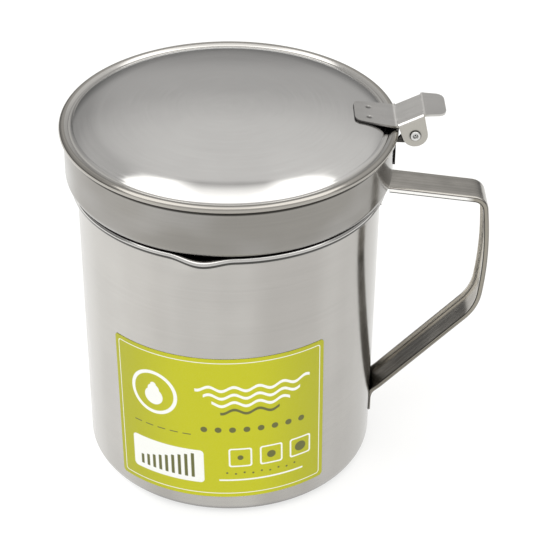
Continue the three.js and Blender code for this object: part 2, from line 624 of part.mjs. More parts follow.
// The plain strips that carry the channel's two ends to the wall and turn down along it. Each lies
// within the thickness of the channel's web and stands a little proud of the plate on the wall.
function handleRoots() {
  const { strapRoot, foot } = handleCorners();
  const sheet = HANDLE_SHEET - 2 * JOIN_INSET;
  const faceAt = (height) => potRadiusAt(height) + SEAT_GAP + HANDLE_SHEET + JOIN_INSET;
  const within = (place, slope) => place.clone()
    .add(point(-Math.sin(slope), Math.cos(slope)).multiplyScalar(JOIN_INSET));
  const strap = within(strapRoot, HALF_TURN - STRAP_SLOPE);
  const diagonal = within(foot, DIAGONAL_SLOPE);
  const plateEnd = POT_HEIGHT - UPPER_PLATE_DROP + PLATE_CORNER_RADIUS;
  const lowEnd = LOWER_PLATE_BOTTOM + PLATE_CORNER_RADIUS;
  const strapLine = (reach) => crossing(strap, -STRAP_SLOPE, point(reach, 0), QUARTER_TURN);
  const diagonalLine = (reach) => crossing(diagonal, DIAGONAL_SLOPE, point(reach, 0), QUARTER_TURN);
  const upper = rounded([
    strapLine(STRAP_FLANGE_START + HANDLE_FLANGE),
    strapLine(faceAt(strap.y) - sheet),
    point(faceAt(plateEnd) - sheet, plateEnd),
  ], [UPPER_ROOT_RADIUS]);
  const lower = rounded([
    point(faceAt(lowEnd), lowEnd),
    diagonalLine(faceAt(foot.y)),
    diagonalLine(faceAt(foot.y) + LOWER_ROOT_RADIUS),
  ], [LOWER_ROOT_RADIUS]);
  const width = HANDLE_WIDTH - 2 * HANDLE_EDGE_RADIUS;
  return [upper, lower].map((line) => solidOf(crosswise(strip(line, 0, sheet), width)));
}

// A plate on the pot's wall, between two heights.
function handlePlate(low, high) {
  return wallPatch({
    outline: roundedRectangle(HANDLE_WIDTH, high - low, PLATE_CORNER_RADIUS),
    height: (low + high) / 2,
    azimuth: QUARTER_TURN,
    radiusAt: (height) => potRadiusAt(height) + SEAT_GAP,
    sheet: HANDLE_SHEET,
  });
}

function handle() {
  const wallRadiusAt = (height) => potRadiusAt(height) + SEAT_GAP + HANDLE_SHEET / 2;
  const wall = solidOf(turned([
    point(0, 0),
    point(wallRadiusAt(0), 0),
    point(wallRadiusAt(POT_HEIGHT), POT_HEIGHT),
    point(0, POT_HEIGHT),
  ], WALL_PATCH_COLUMNS));
  const strapLevel = POT_HEIGHT - STRAP_DROP - HANDLE_SHEET;
  const footLevel = DIAGONAL_FOOT_HEIGHT + HANDLE_FLANGE;
  return geometryOf(unionOf([
    handleChannel().subtract(wall),
    ...handleRoots(),
    handlePlate(POT_HEIGHT - UPPER_PLATE_DROP, strapLevel),
    handlePlate(LOWER_PLATE_BOTTOM, footLevel),
  ]));
}

// Label
function label() {
  const turnedOutline = roundedRectangle(LABEL_WIDTH, LABEL_HEIGHT, LABEL_CORNER_RADIUS)
    .map((corner) => corner.rotateAround(point(0, 0), LABEL_TILT));
  return geometryOf(wallPatch({
    outline: turnedOutline,
    height: LABEL_BOTTOM + LABEL_HEIGHT / 2,
    azimuth: LABEL_AZIMUTH,
    radiusAt: (height) => potRadiusAt(height) + SEAT_GAP,
    sheet: LABEL_SHEET,
  }));
}

// Finishes
const finishes = {
  satinSteel: { color: 0xbfbfbd, roughness: 0.32, metalness: 1 },
  polishedSteel: { color: 0xcfcfcd, roughness: 0.16, metalness: 1 },
  stampedSteel: { color: 0xb4b2ae, roughness: 0.38, metalness: 1 },
  paper: { color: 0xc3c835, roughness: 0.6, metalness: 0 },
};

function piece(name, geometry, finish) {
  const mesh = new THREE.Mesh(geometry, new THREE.MeshStandardMaterial({ name, ...finishes[finish] }));
  mesh.name = name;
  return mesh;
}

// Assembly: the strainer cup stands on the rim, and the lid turns about the pin.
const container = new THREE.Group();
const strainerGroup = new THREE.Group();
const hingeGroup = new THREE.Group();
const lidGroup = new THREE.Group();

container.add(
  piece('pot_body', potBody(), 'satinSteel'),
  piece('handle', handle(), 'stampedSteel'),
  piece('label', label(), 'paper'),
  piece('hinge_bracket', hingeBracket(), 'stampedSteel'),
);
strainerGroup.position.set(0, 0, SEAT_HEIGHT);
strainerGroup.add(piece('strainer_cup', strainerCup(), 'satinSteel'));
hingeGroup.position.set(HINGE_REACH, 0, PIN_HEIGHT);
hingeGroup.add(
  piece('hinge_pin', hingePin(), 'polishedSteel'),
  piece('lid_tab', lidTab(), 'stampedSteel'),
);
lidGroup.position.set(0, 0, LID_SEAT_HEIGHT);
lidGroup.add(piece('lid', lid(), 'polishedSteel'));
container.add(strainerGroup, hingeGroup, lidGroup);

export default container;
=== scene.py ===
"""Visible pieces, finishes, camera and studio of a bacon grease container, over its CAD frame."""

import json
import math

import bmesh
import bpy
from bpy.props import FloatProperty, FloatVectorProperty, IntProperty, PointerProperty
from bpy.types import NodeSocket, Operator, Panel, PropertyGroup
from mathutils import Matrix, Vector


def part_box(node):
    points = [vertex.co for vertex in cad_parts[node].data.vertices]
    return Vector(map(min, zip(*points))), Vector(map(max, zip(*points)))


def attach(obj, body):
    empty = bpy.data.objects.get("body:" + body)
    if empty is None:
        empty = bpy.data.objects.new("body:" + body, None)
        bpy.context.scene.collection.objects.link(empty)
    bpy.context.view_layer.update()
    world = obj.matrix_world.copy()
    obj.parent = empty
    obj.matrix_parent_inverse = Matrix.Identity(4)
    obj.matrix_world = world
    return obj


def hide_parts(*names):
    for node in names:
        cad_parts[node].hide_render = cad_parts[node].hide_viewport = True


bl_info = {
    "name": "Grease Container",
    "version": (1, 0, 0),
    "blender": (4, 5, 0),
    "location": "3D View > Sidebar > Grease Container",
    "description": "Builds a drawn steel grease container with a strainer cup and a hinged lid",
    "category": "Object",
}

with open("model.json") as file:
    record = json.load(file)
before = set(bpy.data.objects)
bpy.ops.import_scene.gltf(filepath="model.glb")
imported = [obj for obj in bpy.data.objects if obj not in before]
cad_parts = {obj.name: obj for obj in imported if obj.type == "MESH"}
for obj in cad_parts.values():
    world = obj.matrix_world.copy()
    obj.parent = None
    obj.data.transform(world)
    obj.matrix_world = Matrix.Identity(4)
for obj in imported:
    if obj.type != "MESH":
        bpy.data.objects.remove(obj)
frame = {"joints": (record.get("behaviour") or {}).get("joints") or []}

MM = 0.001
QUARTER = math.pi / 2
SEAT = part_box("strainer_cup")[0].z + 27 * MM
LID_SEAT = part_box("lid")[0].z
HINGE = next(joint for joint in frame["joints"] if joint["name"] == "lid_hinge")
PIN = Vector(HINGE["pos_m"])
TOUCH = 0.03 * MM  # gap between two pieces that rest on each other
WELD_MARK = (49.7 * MM, 3.6 * MM)  # the lid tab's weld marks, from the axis and from the middle
PER_METRE = 10  # units of the sticker's flat map per metre


# Settings


def length(name, text, millimetres):
    """A length in metres, given here in millimetres."""
    return FloatProperty(name=name, description=text, default=millimetres * MM, precision=5,
                         step=0.01, unit="LENGTH")


def angle(name, text, degrees):
    return FloatProperty(name=name, description=text, default=math.radians(degrees),
                         subtype="ANGLE")


def share(name, text, value):
    return FloatProperty(name=name, description=text, default=value, min=0, max=1,
                         subtype="FACTOR")


def colour(name, text, value):
    """A linear colour."""
    return FloatVectorProperty(name=name, description=text, default=value, size=3, min=0, max=1,
                               subtype="COLOR")


def count(name, text, value):
    return IntProperty(name=name, description=text, default=value, min=3)


class PotSettings(PropertyGroup):
    """Sizes of the drawn pot and its pouring spout."""

    height: length("Height", "Base to the top of the rolled rim", 115.6)
    radius: length("Radius", "Outside of the wall under the rim", 55)
    taper: length("Taper", "How much smaller the base is in radius", 1)
    sheet: length("Sheet", "Thickness of the steel", 0.8)
    corner: length("Base corner", "Outer radius between the wall and the base", 4.6)
    bead: length("Rim bead", "Radius of the rolled rim", 1.5)
    columns: count("Columns", "Facets round the wall", 300)
    spout_turn: angle("Spout turn", "From the front towards the handle", -10)
    spout_width: length("Spout width", "Along the rim", 23)
    spout_drop: length("Spout drop", "How far the rim is pressed down", 1.5)
    spout_bulge: length("Spout bulge", "How far the rim is pressed out", 1.1)
    spout_throat: length("Spout throat", "Height of wall over which the pressing fades", 11)
    packing: share("Column packing", "How closely the columns crowd towards the spout", 0.6)


class StrainerSettings(PropertyGroup):
    """Sizes of the strainer cup."""

    collar_radius: length("Collar radius", "Outside of the collar", 59)
    collar_height: length("Collar height", "Seat to the top edge", 19)
    collar_corner: length("Collar corner", "Outer radius between collar and seat", 3.9)
    sheet: length("Sheet", "Thickness of the steel", 0.7)
    basket_radius: length("Basket radius", "Outside of the basket under the seat", 53)
    basket_depth: length("Basket depth", "Seat to the basket's foot", 27)
    basket_taper: length("Basket taper", "How much smaller the foot is in radius", 1.5)
    basket_corner: length("Basket corner", "Outer radius at the foot", 5)
    throat: length("Throat", "Radius where the basket turns out into the seat", 1)
    hole_radius: length("Hole radius", "Radius of a drain hole", 1.3)
    hole_pitch: length("Hole pitch", "Between two rings of holes", 9.6)
    hole_rings: count("Hole rings", "Rings of holes round the middle one", 4)
    columns: count("Columns", "Facets round the cup", 240)


class LidSettings(PropertyGroup):
    """Sizes of the domed lid."""

    radius: length("Radius", "Outside of the rolled edge", 60.59)
    sheet: length("Sheet", "Thickness of the steel", 0.8)
    bead: length("Edge bead", "Radius of the rolled edge", 1.3)
    crown: length("Crown height", "Seat to the top of the dome", 8.6)
    dome_radius: length("Dome radius", "Where the dome turns into the shoulder", 46)
    dome_drop: length("Dome drop", "Crown down to the dome's edge", 3.5)
    shoulder_reach: length("Shoulder reach", "How far the dome's slope runs on", 6)
    shoulder_fall: angle("Shoulder fall", "Below level, at the shoulder's foot", 40)
    foot_radius: length("Foot radius", "Where the shoulder meets the ring", 56.2)
    foot_reach: length("Foot reach", "How far that fall runs up", 1.6)
    ring_height: length("Ring height", "Seat to the ring's upper face at the foot", 1.9)
    ring_reach: length("Ring reach", "How far the ring runs level at each side", 1)
    columns: count("Columns", "Facets round the lid", 300)


class HingeSettings(PropertyGroup):
    """Sizes of the tab, the bracket and the rivet."""

    sheet: length("Tab sheet", "Thickness of the tab", 0.8)
    gap: length("Tab gap", "Between the lid and the tab", 0.4)
    weld_reach: length("Weld reach", "Axis to the welded end", 44.6)
    valley_reach: length("Valley reach", "Axis to the fold over the rolled edge", 58.9)
    ridge_reach: length("Ridge reach", "Axis to the fold above the rivet", 69)
    rise: length("Rise", "First fold up to the second", 4.76)
    thumb: length("Thumb rest", "Second fold to the tip", 7.8)
    thumb_drop: length("Thumb drop", "How far the tip hangs below the second fold", 0.3)
    fold: length("Fold radius", "Radius of both folds", 2.2)
    weld_width: length("Weld width", "Width of the welded end", 13.8)
    ear_width: length("Ear width", "Outside of one ear to the other's", 16.4)
    tip_width: length("Tip width", "Width of the thumb rest", 14.6)
    weld_corner: length("Weld corner", "Corner radius at the welded end", 2.2)
    tip_corner: length("Tip corner", "Corner radius at the tip", 3)
    ear_bend: length("Ear bend", "Outer radius between strip and ear", 1.15)
    ear_radius: length("Ear radius", "Round end about the rivet", 4.5)
    weld_spot: length("Weld spot", "Radius of a spot weld's dimple", 1.05)
    bracket_width: length("Bracket width", "Width of the plate", 14)
    bracket_height: length("Bracket height", "Height of the plate", 12.6)
    bracket_drop: length("Bracket drop", "Lid's seat down to the plate's top", 0.8)
    bracket_corner: length("Bracket corner", "Corner radius of the plate", 2.4)
    bracket_sheet: length("Bracket sheet", "Thickness of the bracket", 0.7)
    knuckle: length("Knuckle", "Round end of an arm about the rivet", 3.7)
    pin: length("Rivet radius", "Radius of the rivet's shank", 1.2)
    head: length("Rivet head", "Radius of the rivet's heads", 1.8)


class HandleSettings(PropertyGroup):
    """Sizes of the flanged handle."""

    width: length("Width", "Across the channel", 14)
    sheet: length("Sheet", "Thickness of the steel", 0.7)
    flange: length("Flange", "Depth of the channel", 2.0)
    edge: length("Edge radius", "Between web and flange", 0.9)
    strap_drop: length("Strap drop", "Rim's top to the strap's face at the wall", 2.15)
    strap_slope: angle("Strap slope", "Below level, going outwards", 7.8)
    grip_reach: length("Grip reach", "Axis to the grip's outermost corner", 96.5)
    grip_height: length("Grip height", "Base to that corner", 84.388)
    grip_lean: angle("Grip lean", "Of the grip's two ends, off upright", 6.3)
    bow: length("Bow radius", "Of the grip's outer face", 149)
    diagonal: angle("Diagonal slope", "Of the lower arm", 46)
    foot_height: length("Foot height", "Where the lower arm meets the wall", 18.6)
    upper_bend: length("Upper bend", "Radius between strap and grip", 6)
    lower_bend: length("Lower bend", "Radius between grip and lower arm", 20)
    flange_reach: length("Flange reach", "Axis to where the flanges begin", 58.5)
    upper_plate: length("Upper plate", "Base to the upper plate's lower edge", 104.6)
    lower_plate: length("Lower plate", "Base to the lower plate's lower edge", 11)
    plate_corner: length("Plate corner", "Corner radius of the plates", 2)


class LabelSettings(PropertyGroup):
    """Place, size and colours of the sticker."""

    width: length("Width", "Along the wall", 82)
    height: length("Height", "Lower edge to upper edge", 63.2)
    bottom: length("Bottom", "Base to the lower edge", 8.2)
    turn: angle("Turn", "From the front towards the handle", -4.8)
    tilt: angle("Tilt", "Turn in its own plane", 1.2)
    corner: length("Corner", "Corner radius", 0.8)
    sheet: length("Sheet", "Thickness of the film", 0.14)
    field: colour("Field", "The printed ground", (0.5, 0.5, 0.008))
    # The ground darkens towards the sticker's two ends.
    shade: colour("Shade", "The ground's deeper side", (0.41, 0.41, 0.014))
    light: colour("Light motifs", "Unprinted film", (0.86, 0.87, 0.83))
    dark: colour("Dark motifs", "Fine dark print", (0.13, 0.135, 0.04))


class SteelSettings(PropertyGroup):
    """Colours of the steel."""

    satin: colour("Satin", "Pot", (0.49, 0.476, 0.455))
    collar: colour("Collar", "Strainer cup", (0.325, 0.315, 0.3))
    polished: colour("Polished", "Lid", (0.67, 0.66, 0.645))
    stamped: colour("Stamped", "Tab", (0.56, 0.548, 0.53))
    handle: colour("Handle", "Handle", (0.53, 0.505, 0.465))
    # Painted shade: the bracket's colour is near black, standing in for the shade it sits in.
    bracket: colour("Bracket", "Bracket on the collar", (0.07, 0.066, 0.06))
    rivet: colour("Rivet", "Rivet", (0.7, 0.7, 0.69))


class StudioSettings(PropertyGroup):
    """Camera, floor and light."""

    place: FloatVectorProperty(name="Camera", description="Where the camera stands",
                               default=(-0.0000571, -0.6162456, 0.485477), size=3, unit="LENGTH",
                               precision=5)
    yaw: angle("Yaw", "Camera's turn towards the handle", 1.5882)
    pitch: angle("Pitch", "Camera's tilt below level", 33.9424)
    roll: angle("Roll", "Camera's turn about its own line of sight", 0.6726)
    lens: FloatProperty(name="Lens", description="Focal length on a 36 mm sensor, in millimetres",
                        default=129.658, min=10)
    floor: colour("Floor", "Colour of the floor", (0.25, 0.25, 0.248))
    floor_glow: FloatProperty(name="Floor glow", description="Light that the floor gives off",
                              default=0.73, min=0)
    softbox: FloatProperty(name="Softbox", description="Power of the overhead light, in watts",
                           default=4, min=0)
    softbox_height: length("Softbox height", "Above the floor", 1200)
    softbox_length: length("Softbox length", "Along the object's width", 2000)
    softbox_width: length("Softbox width", "Front to back", 1050)
    sky: FloatProperty(name="Sky", description="Strength of the surrounding light", default=1,
                       min=0)


def context_of(part):
    """The settings of one part."""
    return getattr(bpy.context.scene, "container_" + part)


# Outlines, as points (radius or X, height)


def arc(centre, radius, start, end, steps):
    points = []
    for i in range(steps + 1):
        turn = start + (end - start) * i / steps
        points.append(Vector((centre[0] + radius * math.cos(turn),
                              centre[1] + radius * math.sin(turn))))
    return points


def bezier(points, steps):
    a, b, c, d = (Vector(point) for point in points)
    line = []
    for i in range(steps + 1):
        t = i / steps
        s = 1 - t
        line.append(a * s**3 + b * 3 * s * s * t + c * 3 * s * t * t + d * t**3)
    return line


def straight(start, end, steps):
    start, end = Vector(start), Vector(end)
    return [start.lerp(end, i / steps) for i in range(steps + 1)]


def left_of(line, i):
    """The unit vector to the left of a line at its point i."""
    before, after = line[max(i - 1, 0)], line[min(i + 1, len(line) - 1)]
    along = (after - before).normalized()
    return Vector((-along.y, along.x))


def offset(line, distance):
    """The line moved to its left. A point on the axis stays on it."""
    moved = []
    for i, point in enumerate(line):
        shifted = point + left_of(line, i) * distance
        if abs(point.x) < 1e-9:
            shifted.x = 0
        moved.append(shifted)
    return moved


def crossing(p, a, q, b):
    """Where a line through p at angle a meets a line through q at angle b."""
    along = Vector((math.cos(a), math.sin(a)))
    other = Vector((math.cos(b), math.sin(b)))
    p, q = Vector(p), Vector(q)
    return p + along * ((q - p).cross(other) / along.cross(other))


def rounded(corners, radii, arc_step, straight_step):
    """A line through corners, each inner one rounded, in steps that suit a smooth sweep."""
    line = [Vector(corners[0])]
    for i in range(1, len(corners) - 1):
        corner = Vector(corners[i])
        arriving = (corner - Vector(corners[i - 1])).normalized()
        leaving = (Vector(corners[i + 1]) - corner).normalized()
        turn = math.atan2(arriving.cross(leaving), arriving.dot(leaving))
        side = math.copysign(1, turn)
        radius = radii[i - 1]
        start = corner - arriving * radius * math.tan(abs(turn) / 2)
        centre = start + Vector((-arriving.y, arriving.x)) * side * radius
        begin = math.atan2(arriving.y, arriving.x) - side * QUARTER
        steps = max(math.ceil(abs(turn) / arc_step), math.ceil(abs(turn) * radius / straight_step))
        run = (start - line[-1]).length
        line += straight(line[-1], start, max(1, math.ceil(run / straight_step)))[1:]
        line += arc(centre, radius, begin, begin + turn, steps)[1:]
    run = (Vector(corners[-1]) - line[-1]).length
    line += straight(line[-1], corners[-1], max(1, math.ceil(run / straight_step)))[1:]
    return line


def smoothstep(value, low, high):
    t = min(max((value - low) / (high - low), 0), 1)
    return t * t * (3 - 2 * t)


def touch_angle(point, radius, side):
    """The angle on a circle about the origin where a tangent from a point touches it."""
    return math.atan2(point.y, point.x) + side * math.acos(radius / point.length)


# Meshes


def mesh_of(name, verts, faces):
    mesh = bpy.data.meshes.new(name)
    mesh.from_pydata([tuple(v) for v in verts], [], faces)
    return mesh


def piece_of(name, verts, faces, **values):
    """A new object of a mesh, dressed. The values are attributes of its points."""
    mesh = mesh_of(name, verts, faces)
    for key, numbers in values.items():
        mesh.attributes.new(key, "FLOAT", "POINT").data.foreach_set("value", numbers)
    return dressed(bpy.data.objects.new(name, mesh))


def dressed(piece, sharp=32):
    """Links a piece, turns its faces outwards and shades it smooth up to an angle in degrees."""
    mesh = piece.data
    bm = bmesh.new()
    bm.from_mesh(mesh)
    bmesh.ops.remove_doubles(bm, verts=bm.verts, dist=1e-7)
    bmesh.ops.recalc_face_normals(bm, faces=bm.faces)
    bm.to_mesh(mesh)
    bm.free()
    mesh.shade_smooth()
    mesh.set_sharp_from_angle(angle=math.radians(sharp))
    if piece.name not in bpy.context.scene.collection.objects:
        bpy.context.scene.collection.objects.link(piece)
    return piece


def baked(piece):
    """The piece with its modifiers worked into its mesh."""
    graph = bpy.context.evaluated_depsgraph_get()
    mesh = bpy.data.meshes.new_from_object(piece.evaluated_get(graph))
    piece.modifiers.clear()
    piece.data = mesh
    return dressed(piece)


def even_turns(columns):
    return [2 * math.pi * i / columns for i in range(columns)]


def turned(name, outline, turns, shape=None, rolled_from=1.0):
    """A body of revolution. The outline starts and ends on the axis or closes on itself.

    Its attribute roll is 1 on the points of the outline beyond the radius rolled_from.
    """
    open_ends = abs(outline[0].x) < 1e-9
    rows = len(outline)
    verts = []
    for turn in turns:
        for point in outline:
            radius, height = shape(turn, point) if shape else (point.x, point.y)
            verts.append((radius * math.sin(turn), -radius * math.cos(turn), height))
    faces = []
    for i in range(len(turns)):
        a, b = i * rows, (i + 1) % len(turns) * rows
        for j in range(rows - 1 if open_ends else rows):
            k = (j + 1) % rows
            corners = [a + j, b + j, b + k, a + k]
            if abs(outline[j].x) < 1e-9:
                corners = [a + j, b + k, a + k]
            elif abs(outline[k].x) < 1e-9:
                corners = [a + j, b + j, a + k]
            faces.append(corners)
    rolls = [float(point.x > rolled_from) for point in outline] * len(turns)
    return piece_of(name, verts, faces, roll=rolls)


def sheet_grid(rows):
    """Corners and faces of a sheet through rows of equally many points."""
    width = len(rows[0])
    verts = [point for row in rows for point in row]
    faces = []
    for i in range(len(rows) - 1):
        for j in range(width - 1):
            a = i * width + j
            faces.append([a, a + 1, a + width + 1, a + width])
    return verts, faces


def joined(*grids):
    verts, faces = [], []
    for more_verts, more_faces in grids:
        start = len(verts)
        verts += more_verts
        faces += [[start + k for k in face] for face in more_faces]
    return verts, faces


def folded(name, grids, thickness, outward, edge=0.0):
    """A sheet of the given thickness on one side of its face. Outward is a point far outside."""
    mesh = mesh_of(name, *joined(*grids))
    bm = bmesh.new()
    bm.from_mesh(mesh)
    bmesh.ops.remove_doubles(bm, verts=bm.verts, dist=2e-6)
    bmesh.ops.dissolve_degenerate(bm, edges=bm.edges, dist=1e-7)
    bmesh.ops.recalc_face_normals(bm, faces=bm.faces)
    bm.faces.ensure_lookup_table()
    nearest = min(bm.faces, key=lambda f: (f.calc_center_median() - outward).length)
    if nearest.normal.dot(outward - nearest.calc_center_median()) < 0:
        bmesh.ops.reverse_faces(bm, faces=bm.faces)
    bm.to_mesh(mesh)
    bm.free()
    piece = bpy.data.objects.new(name, mesh)
    bpy.context.scene.collection.objects.link(piece)
    solid = piece.modifiers.new("thickness", "SOLIDIFY")
    solid.thickness = thickness
    solid.offset = -1
    if edge:
        bevel = piece.modifiers.new("edge", "BEVEL")
        bevel.width = edge
        bevel.segments = 2
        bevel.limit_method = "ANGLE"
        bevel.angle_limit = math.radians(50)
        bevel.use_clamp_overlap = True
    return baked(piece)


def installed(piece, body, node, material):
    """Gives a piece its finish and its body, and hides the CAD node that it stands for."""
    piece.data.materials.clear()
    piece.data.materials.append(material)
    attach(piece, body)
    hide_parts(node)


# Node trees


def feed(socket, value):
    """Gives an input another node's socket or a value of its own."""
    if isinstance(value, NodeSocket):
        socket.id_data.links.new(value, socket)
    elif value is not None:
        socket.default_value = value


def node(tree, kind, inputs=(), **settings):
    """A new node with its settings and inputs. An input is a value or another node's socket."""
    made = tree.nodes.new(kind)
    for key, value in settings.items():
        setattr(made, key, value)
    for key, value in dict(inputs).items():
        feed(made.inputs[key], value)
    return made


def beside(values, kind, **settings):
    """A new node that takes its inputs in order, in the tree of the first socket among them."""
    tree = next(value.id_data for value in values if isinstance(value, NodeSocket))
    made = node(tree, kind, **settings)
    for socket, value in zip(made.inputs, values):
        feed(socket, value)
    return made


def calc(operation, *values, clamp=False):
    """The result of a Math node."""
    return beside(values, "ShaderNodeMath", operation=operation, use_clamp=clamp).outputs[0]


def plus(a, b):
    return calc("ADD", a, b)


def minus(a, b):
    return calc("SUBTRACT", a, b)


def times(a, b):
    return calc("MULTIPLY", a, b)


def either(*masks):
    whole = masks[0]
    for mask in masks[1:]:
        whole = calc("MAXIMUM", whole, mask)
    return whole


def vector(operation, *values):
    """The result of a Vector Math node."""
    made = beside(values, "ShaderNodeVectorMath", operation=operation)
    return made.outputs["Value" if operation in ("LENGTH", "DOT_PRODUCT") else "Vector"]


def stretched(value, factors):
    return vector("MULTIPLY", value, factors)


def scaled(value, factor):
    return vector("SCALE", value, None, None, factor)


def xyz(value):
    """The three parts of a vector."""
    return node(value.id_data, "ShaderNodeSeparateXYZ", {"Vector": value}).outputs


def combined(*parts):
    return beside(parts, "ShaderNodeCombineXYZ").outputs[0]


def ranged(value, low, high, start=0, end=1, smooth=False):
    """A value's run from low to high, mapped on a run from start to end."""
    kind = "SMOOTHSTEP" if smooth else "LINEAR"
    made = beside([value, low, high, start, end], "ShaderNodeMapRange", interpolation_type=kind)
    return made.outputs["Result"]


def between(value, low, high, soft=0.3 * MM):
    """1 where a value lies between two limits."""
    rising = ranged(value, low - soft, low + soft)
    return times(rising, ranged(value, high - soft, high + soft, 1, 0))


def mixed(factor, a, b):
    """A mix of two values."""
    return beside([factor, None, a, b], "ShaderNodeMix", data_type="FLOAT").outputs[0]


def blended(factor, a, b):
    """A mix of two colours."""
    a, b = (part if isinstance(part, NodeSocket) else (*part, 1) for part in (a, b))
    return beside([factor, *[None] * 5, a, b], "ShaderNodeMix", data_type="RGBA").outputs[2]


def noise(place, scale, detail=2.0, roughness=0.5):
    return node(place.id_data, "ShaderNodeTexNoise", {
        "Vector": place, "Scale": scale, "Detail": detail, "Roughness": roughness,
    }).outputs["Fac"]


def group(name, inputs, outputs, fill):
    """A shader node group, built once. Fill wires its input sockets to the outputs it returns."""
    if name in bpy.data.node_groups:
        return bpy.data.node_groups[name]
    tree = bpy.data.node_groups.new(name, "ShaderNodeTree")
    for title, kind, value in inputs:
        socket = tree.interface.new_socket(title, in_out="INPUT", socket_type=kind)
        if value is not None:
            socket.default_value = value
    for title, kind in outputs:
        tree.interface.new_socket(title, in_out="OUTPUT", socket_type=kind)
    entry = tree.nodes.new("NodeGroupInput")
    leave = tree.nodes.new("NodeGroupOutput")
    for title, result in fill(entry.outputs).items():
        tree.links.new(result, leave.inputs[title])
    return tree


def placed(group_tree, inputs):
    """The outputs of a group placed in the tree of its first input."""
    tree = next(iter(inputs.values())).id_data
    return node(tree, "ShaderNodeGroup", inputs, node_tree=group_tree).outputs


def emptied(owner):
    """The node tree of a material or a world, with nothing in it."""
    owner.use_nodes = True
    owner.node_tree.nodes.clear()
    return owner.node_tree


def ended(shader, kind="ShaderNodeOutputMaterial"):
    """Links a shader to the output of its tree."""
    feed(node(shader.id_data, kind).inputs["Surface"], shader.outputs[0])


FLOAT, VECTOR, COLOUR = "NodeSocketFloat", "NodeSocketVector", "NodeSocketColor"


def brush_marks():
    """Fine marks drawn out along a sheet. Z of the place runs across them."""

    def fill(entry):
        stretch = combined(entry["Along"], entry["Along"], entry["Across"])
        place = stretched(entry["Place"], stretch)
        fine = noise(place, 1.0, 3.0, 0.65)
        broad = noise(stretched(place, (0.35, 0.35, 0.09)), 1.0, 2.0)
        return {"Fine": fine, "Mixed": plus(times(fine, 0.65), times(broad, 0.35))}

    return group("brush_marks",
                 [("Place", VECTOR, None), ("Along", FLOAT, 30.0), ("Across", FLOAT, 2400.0)],
                 [("Fine", FLOAT), ("Mixed", FLOAT)], fill)


def handling_marks():
    """Soft smudges and sparse hairline scratches."""

    def fill(entry):
        place = entry["Place"]
        smudge = ranged(noise(place, 38.0, 3.0, 0.55), 0.38, 0.68, smooth=True)
        line = noise(stretched(place, (1.0, 0.6, 0.8)), 55.0, 1.0)
        hair = ranged(calc("ABSOLUTE", minus(line, 0.52)), 0.0, 0.0016, 1, 0)
        worn = ranged(noise(place, 90.0, 2.0), 0.56, 0.64)
        return {"Smudge": smudge, "Scratch": times(hair, worn)}

    return group("handling_marks", [("Place", VECTOR, None)],
                 [("Smudge", FLOAT), ("Scratch", FLOAT)], fill)


def steel_surface():
    """Colour, roughness and relief of sheet steel with its brushing, smudges and scratches."""

    def fill(entry):
        brush = placed(brush_marks(), {
            "Place": entry["Brush place"], "Along": entry["Along"], "Across": entry["Across"],
        })
        marks = placed(handling_marks(), {"Place": entry["Place"]})
        tone = plus(times(brush["Mixed"], 0.8), times(marks["Smudge"], 0.2))
        tint = blended(ranged(tone, 0.3, 0.7), entry["Shade"], entry["Tint"])
        rough = plus(entry["Roughness"], times(minus(brush["Mixed"], 0.5), 0.18))
        rough = plus(rough, times(marks["Smudge"], 0.035))
        rough = calc("ADD", rough, times(marks["Scratch"], 0.06), clamp=True)
        relief = minus(times(brush["Fine"], entry["Relief"]), times(marks["Scratch"], 0.3))
        return {"Colour": tint, "Roughness": rough, "Height": relief}

    return group("steel_surface",
                 [("Place", VECTOR, None), ("Brush place", VECTOR, None),
                  ("Along", FLOAT, 30.0), ("Across", FLOAT, 2400.0),
                  ("Tint", COLOUR, None), ("Shade", COLOUR, None),
                  ("Roughness", FLOAT, 0.3), ("Relief", FLOAT, 1.0)],
                 [("Colour", COLOUR), ("Roughness", FLOAT), ("Height", FLOAT)], fill)


def object_place(tree):
    return node(tree, "ShaderNodeTexCoord").outputs["Object"]


def axis_distance(tree):
    return vector("LENGTH", stretched(object_place(tree), (1, 1, 0)))


def normal_of(tree):
    return node(tree, "ShaderNodeNewGeometry").outputs["Normal"]


def stored(tree, name):
    """An attribute of the mesh."""
    return node(tree, "ShaderNodeAttribute", attribute_name=name).outputs["Fac"]


def ring_place(tree):
    """Brushing that runs in rings about the axis on a face that looks up."""
    x, y, _ = xyz(object_place(tree))
    flat = combined(x, y)
    heading_x, heading_y, _ = xyz(vector("NORMALIZE", flat))
    return combined(times(heading_x, 0.05), times(heading_y, 0.05), vector("LENGTH", flat))


def lengthwise_place(tree):
    """Brushing that runs along X and Z, as on a strip cut lengthwise."""
    x, y, z = xyz(object_place(tree))
    return combined(x, z, y)


def openness(tree, distance, low, high):
    """1 in the open and 0 in nooks, which are looked for up to a distance away."""
    nooks = node(tree, "ShaderNodeAmbientOcclusion", {"Distance": distance}, samples=8)
    return ranged(nooks.outputs["AO"], low, high, smooth=True)


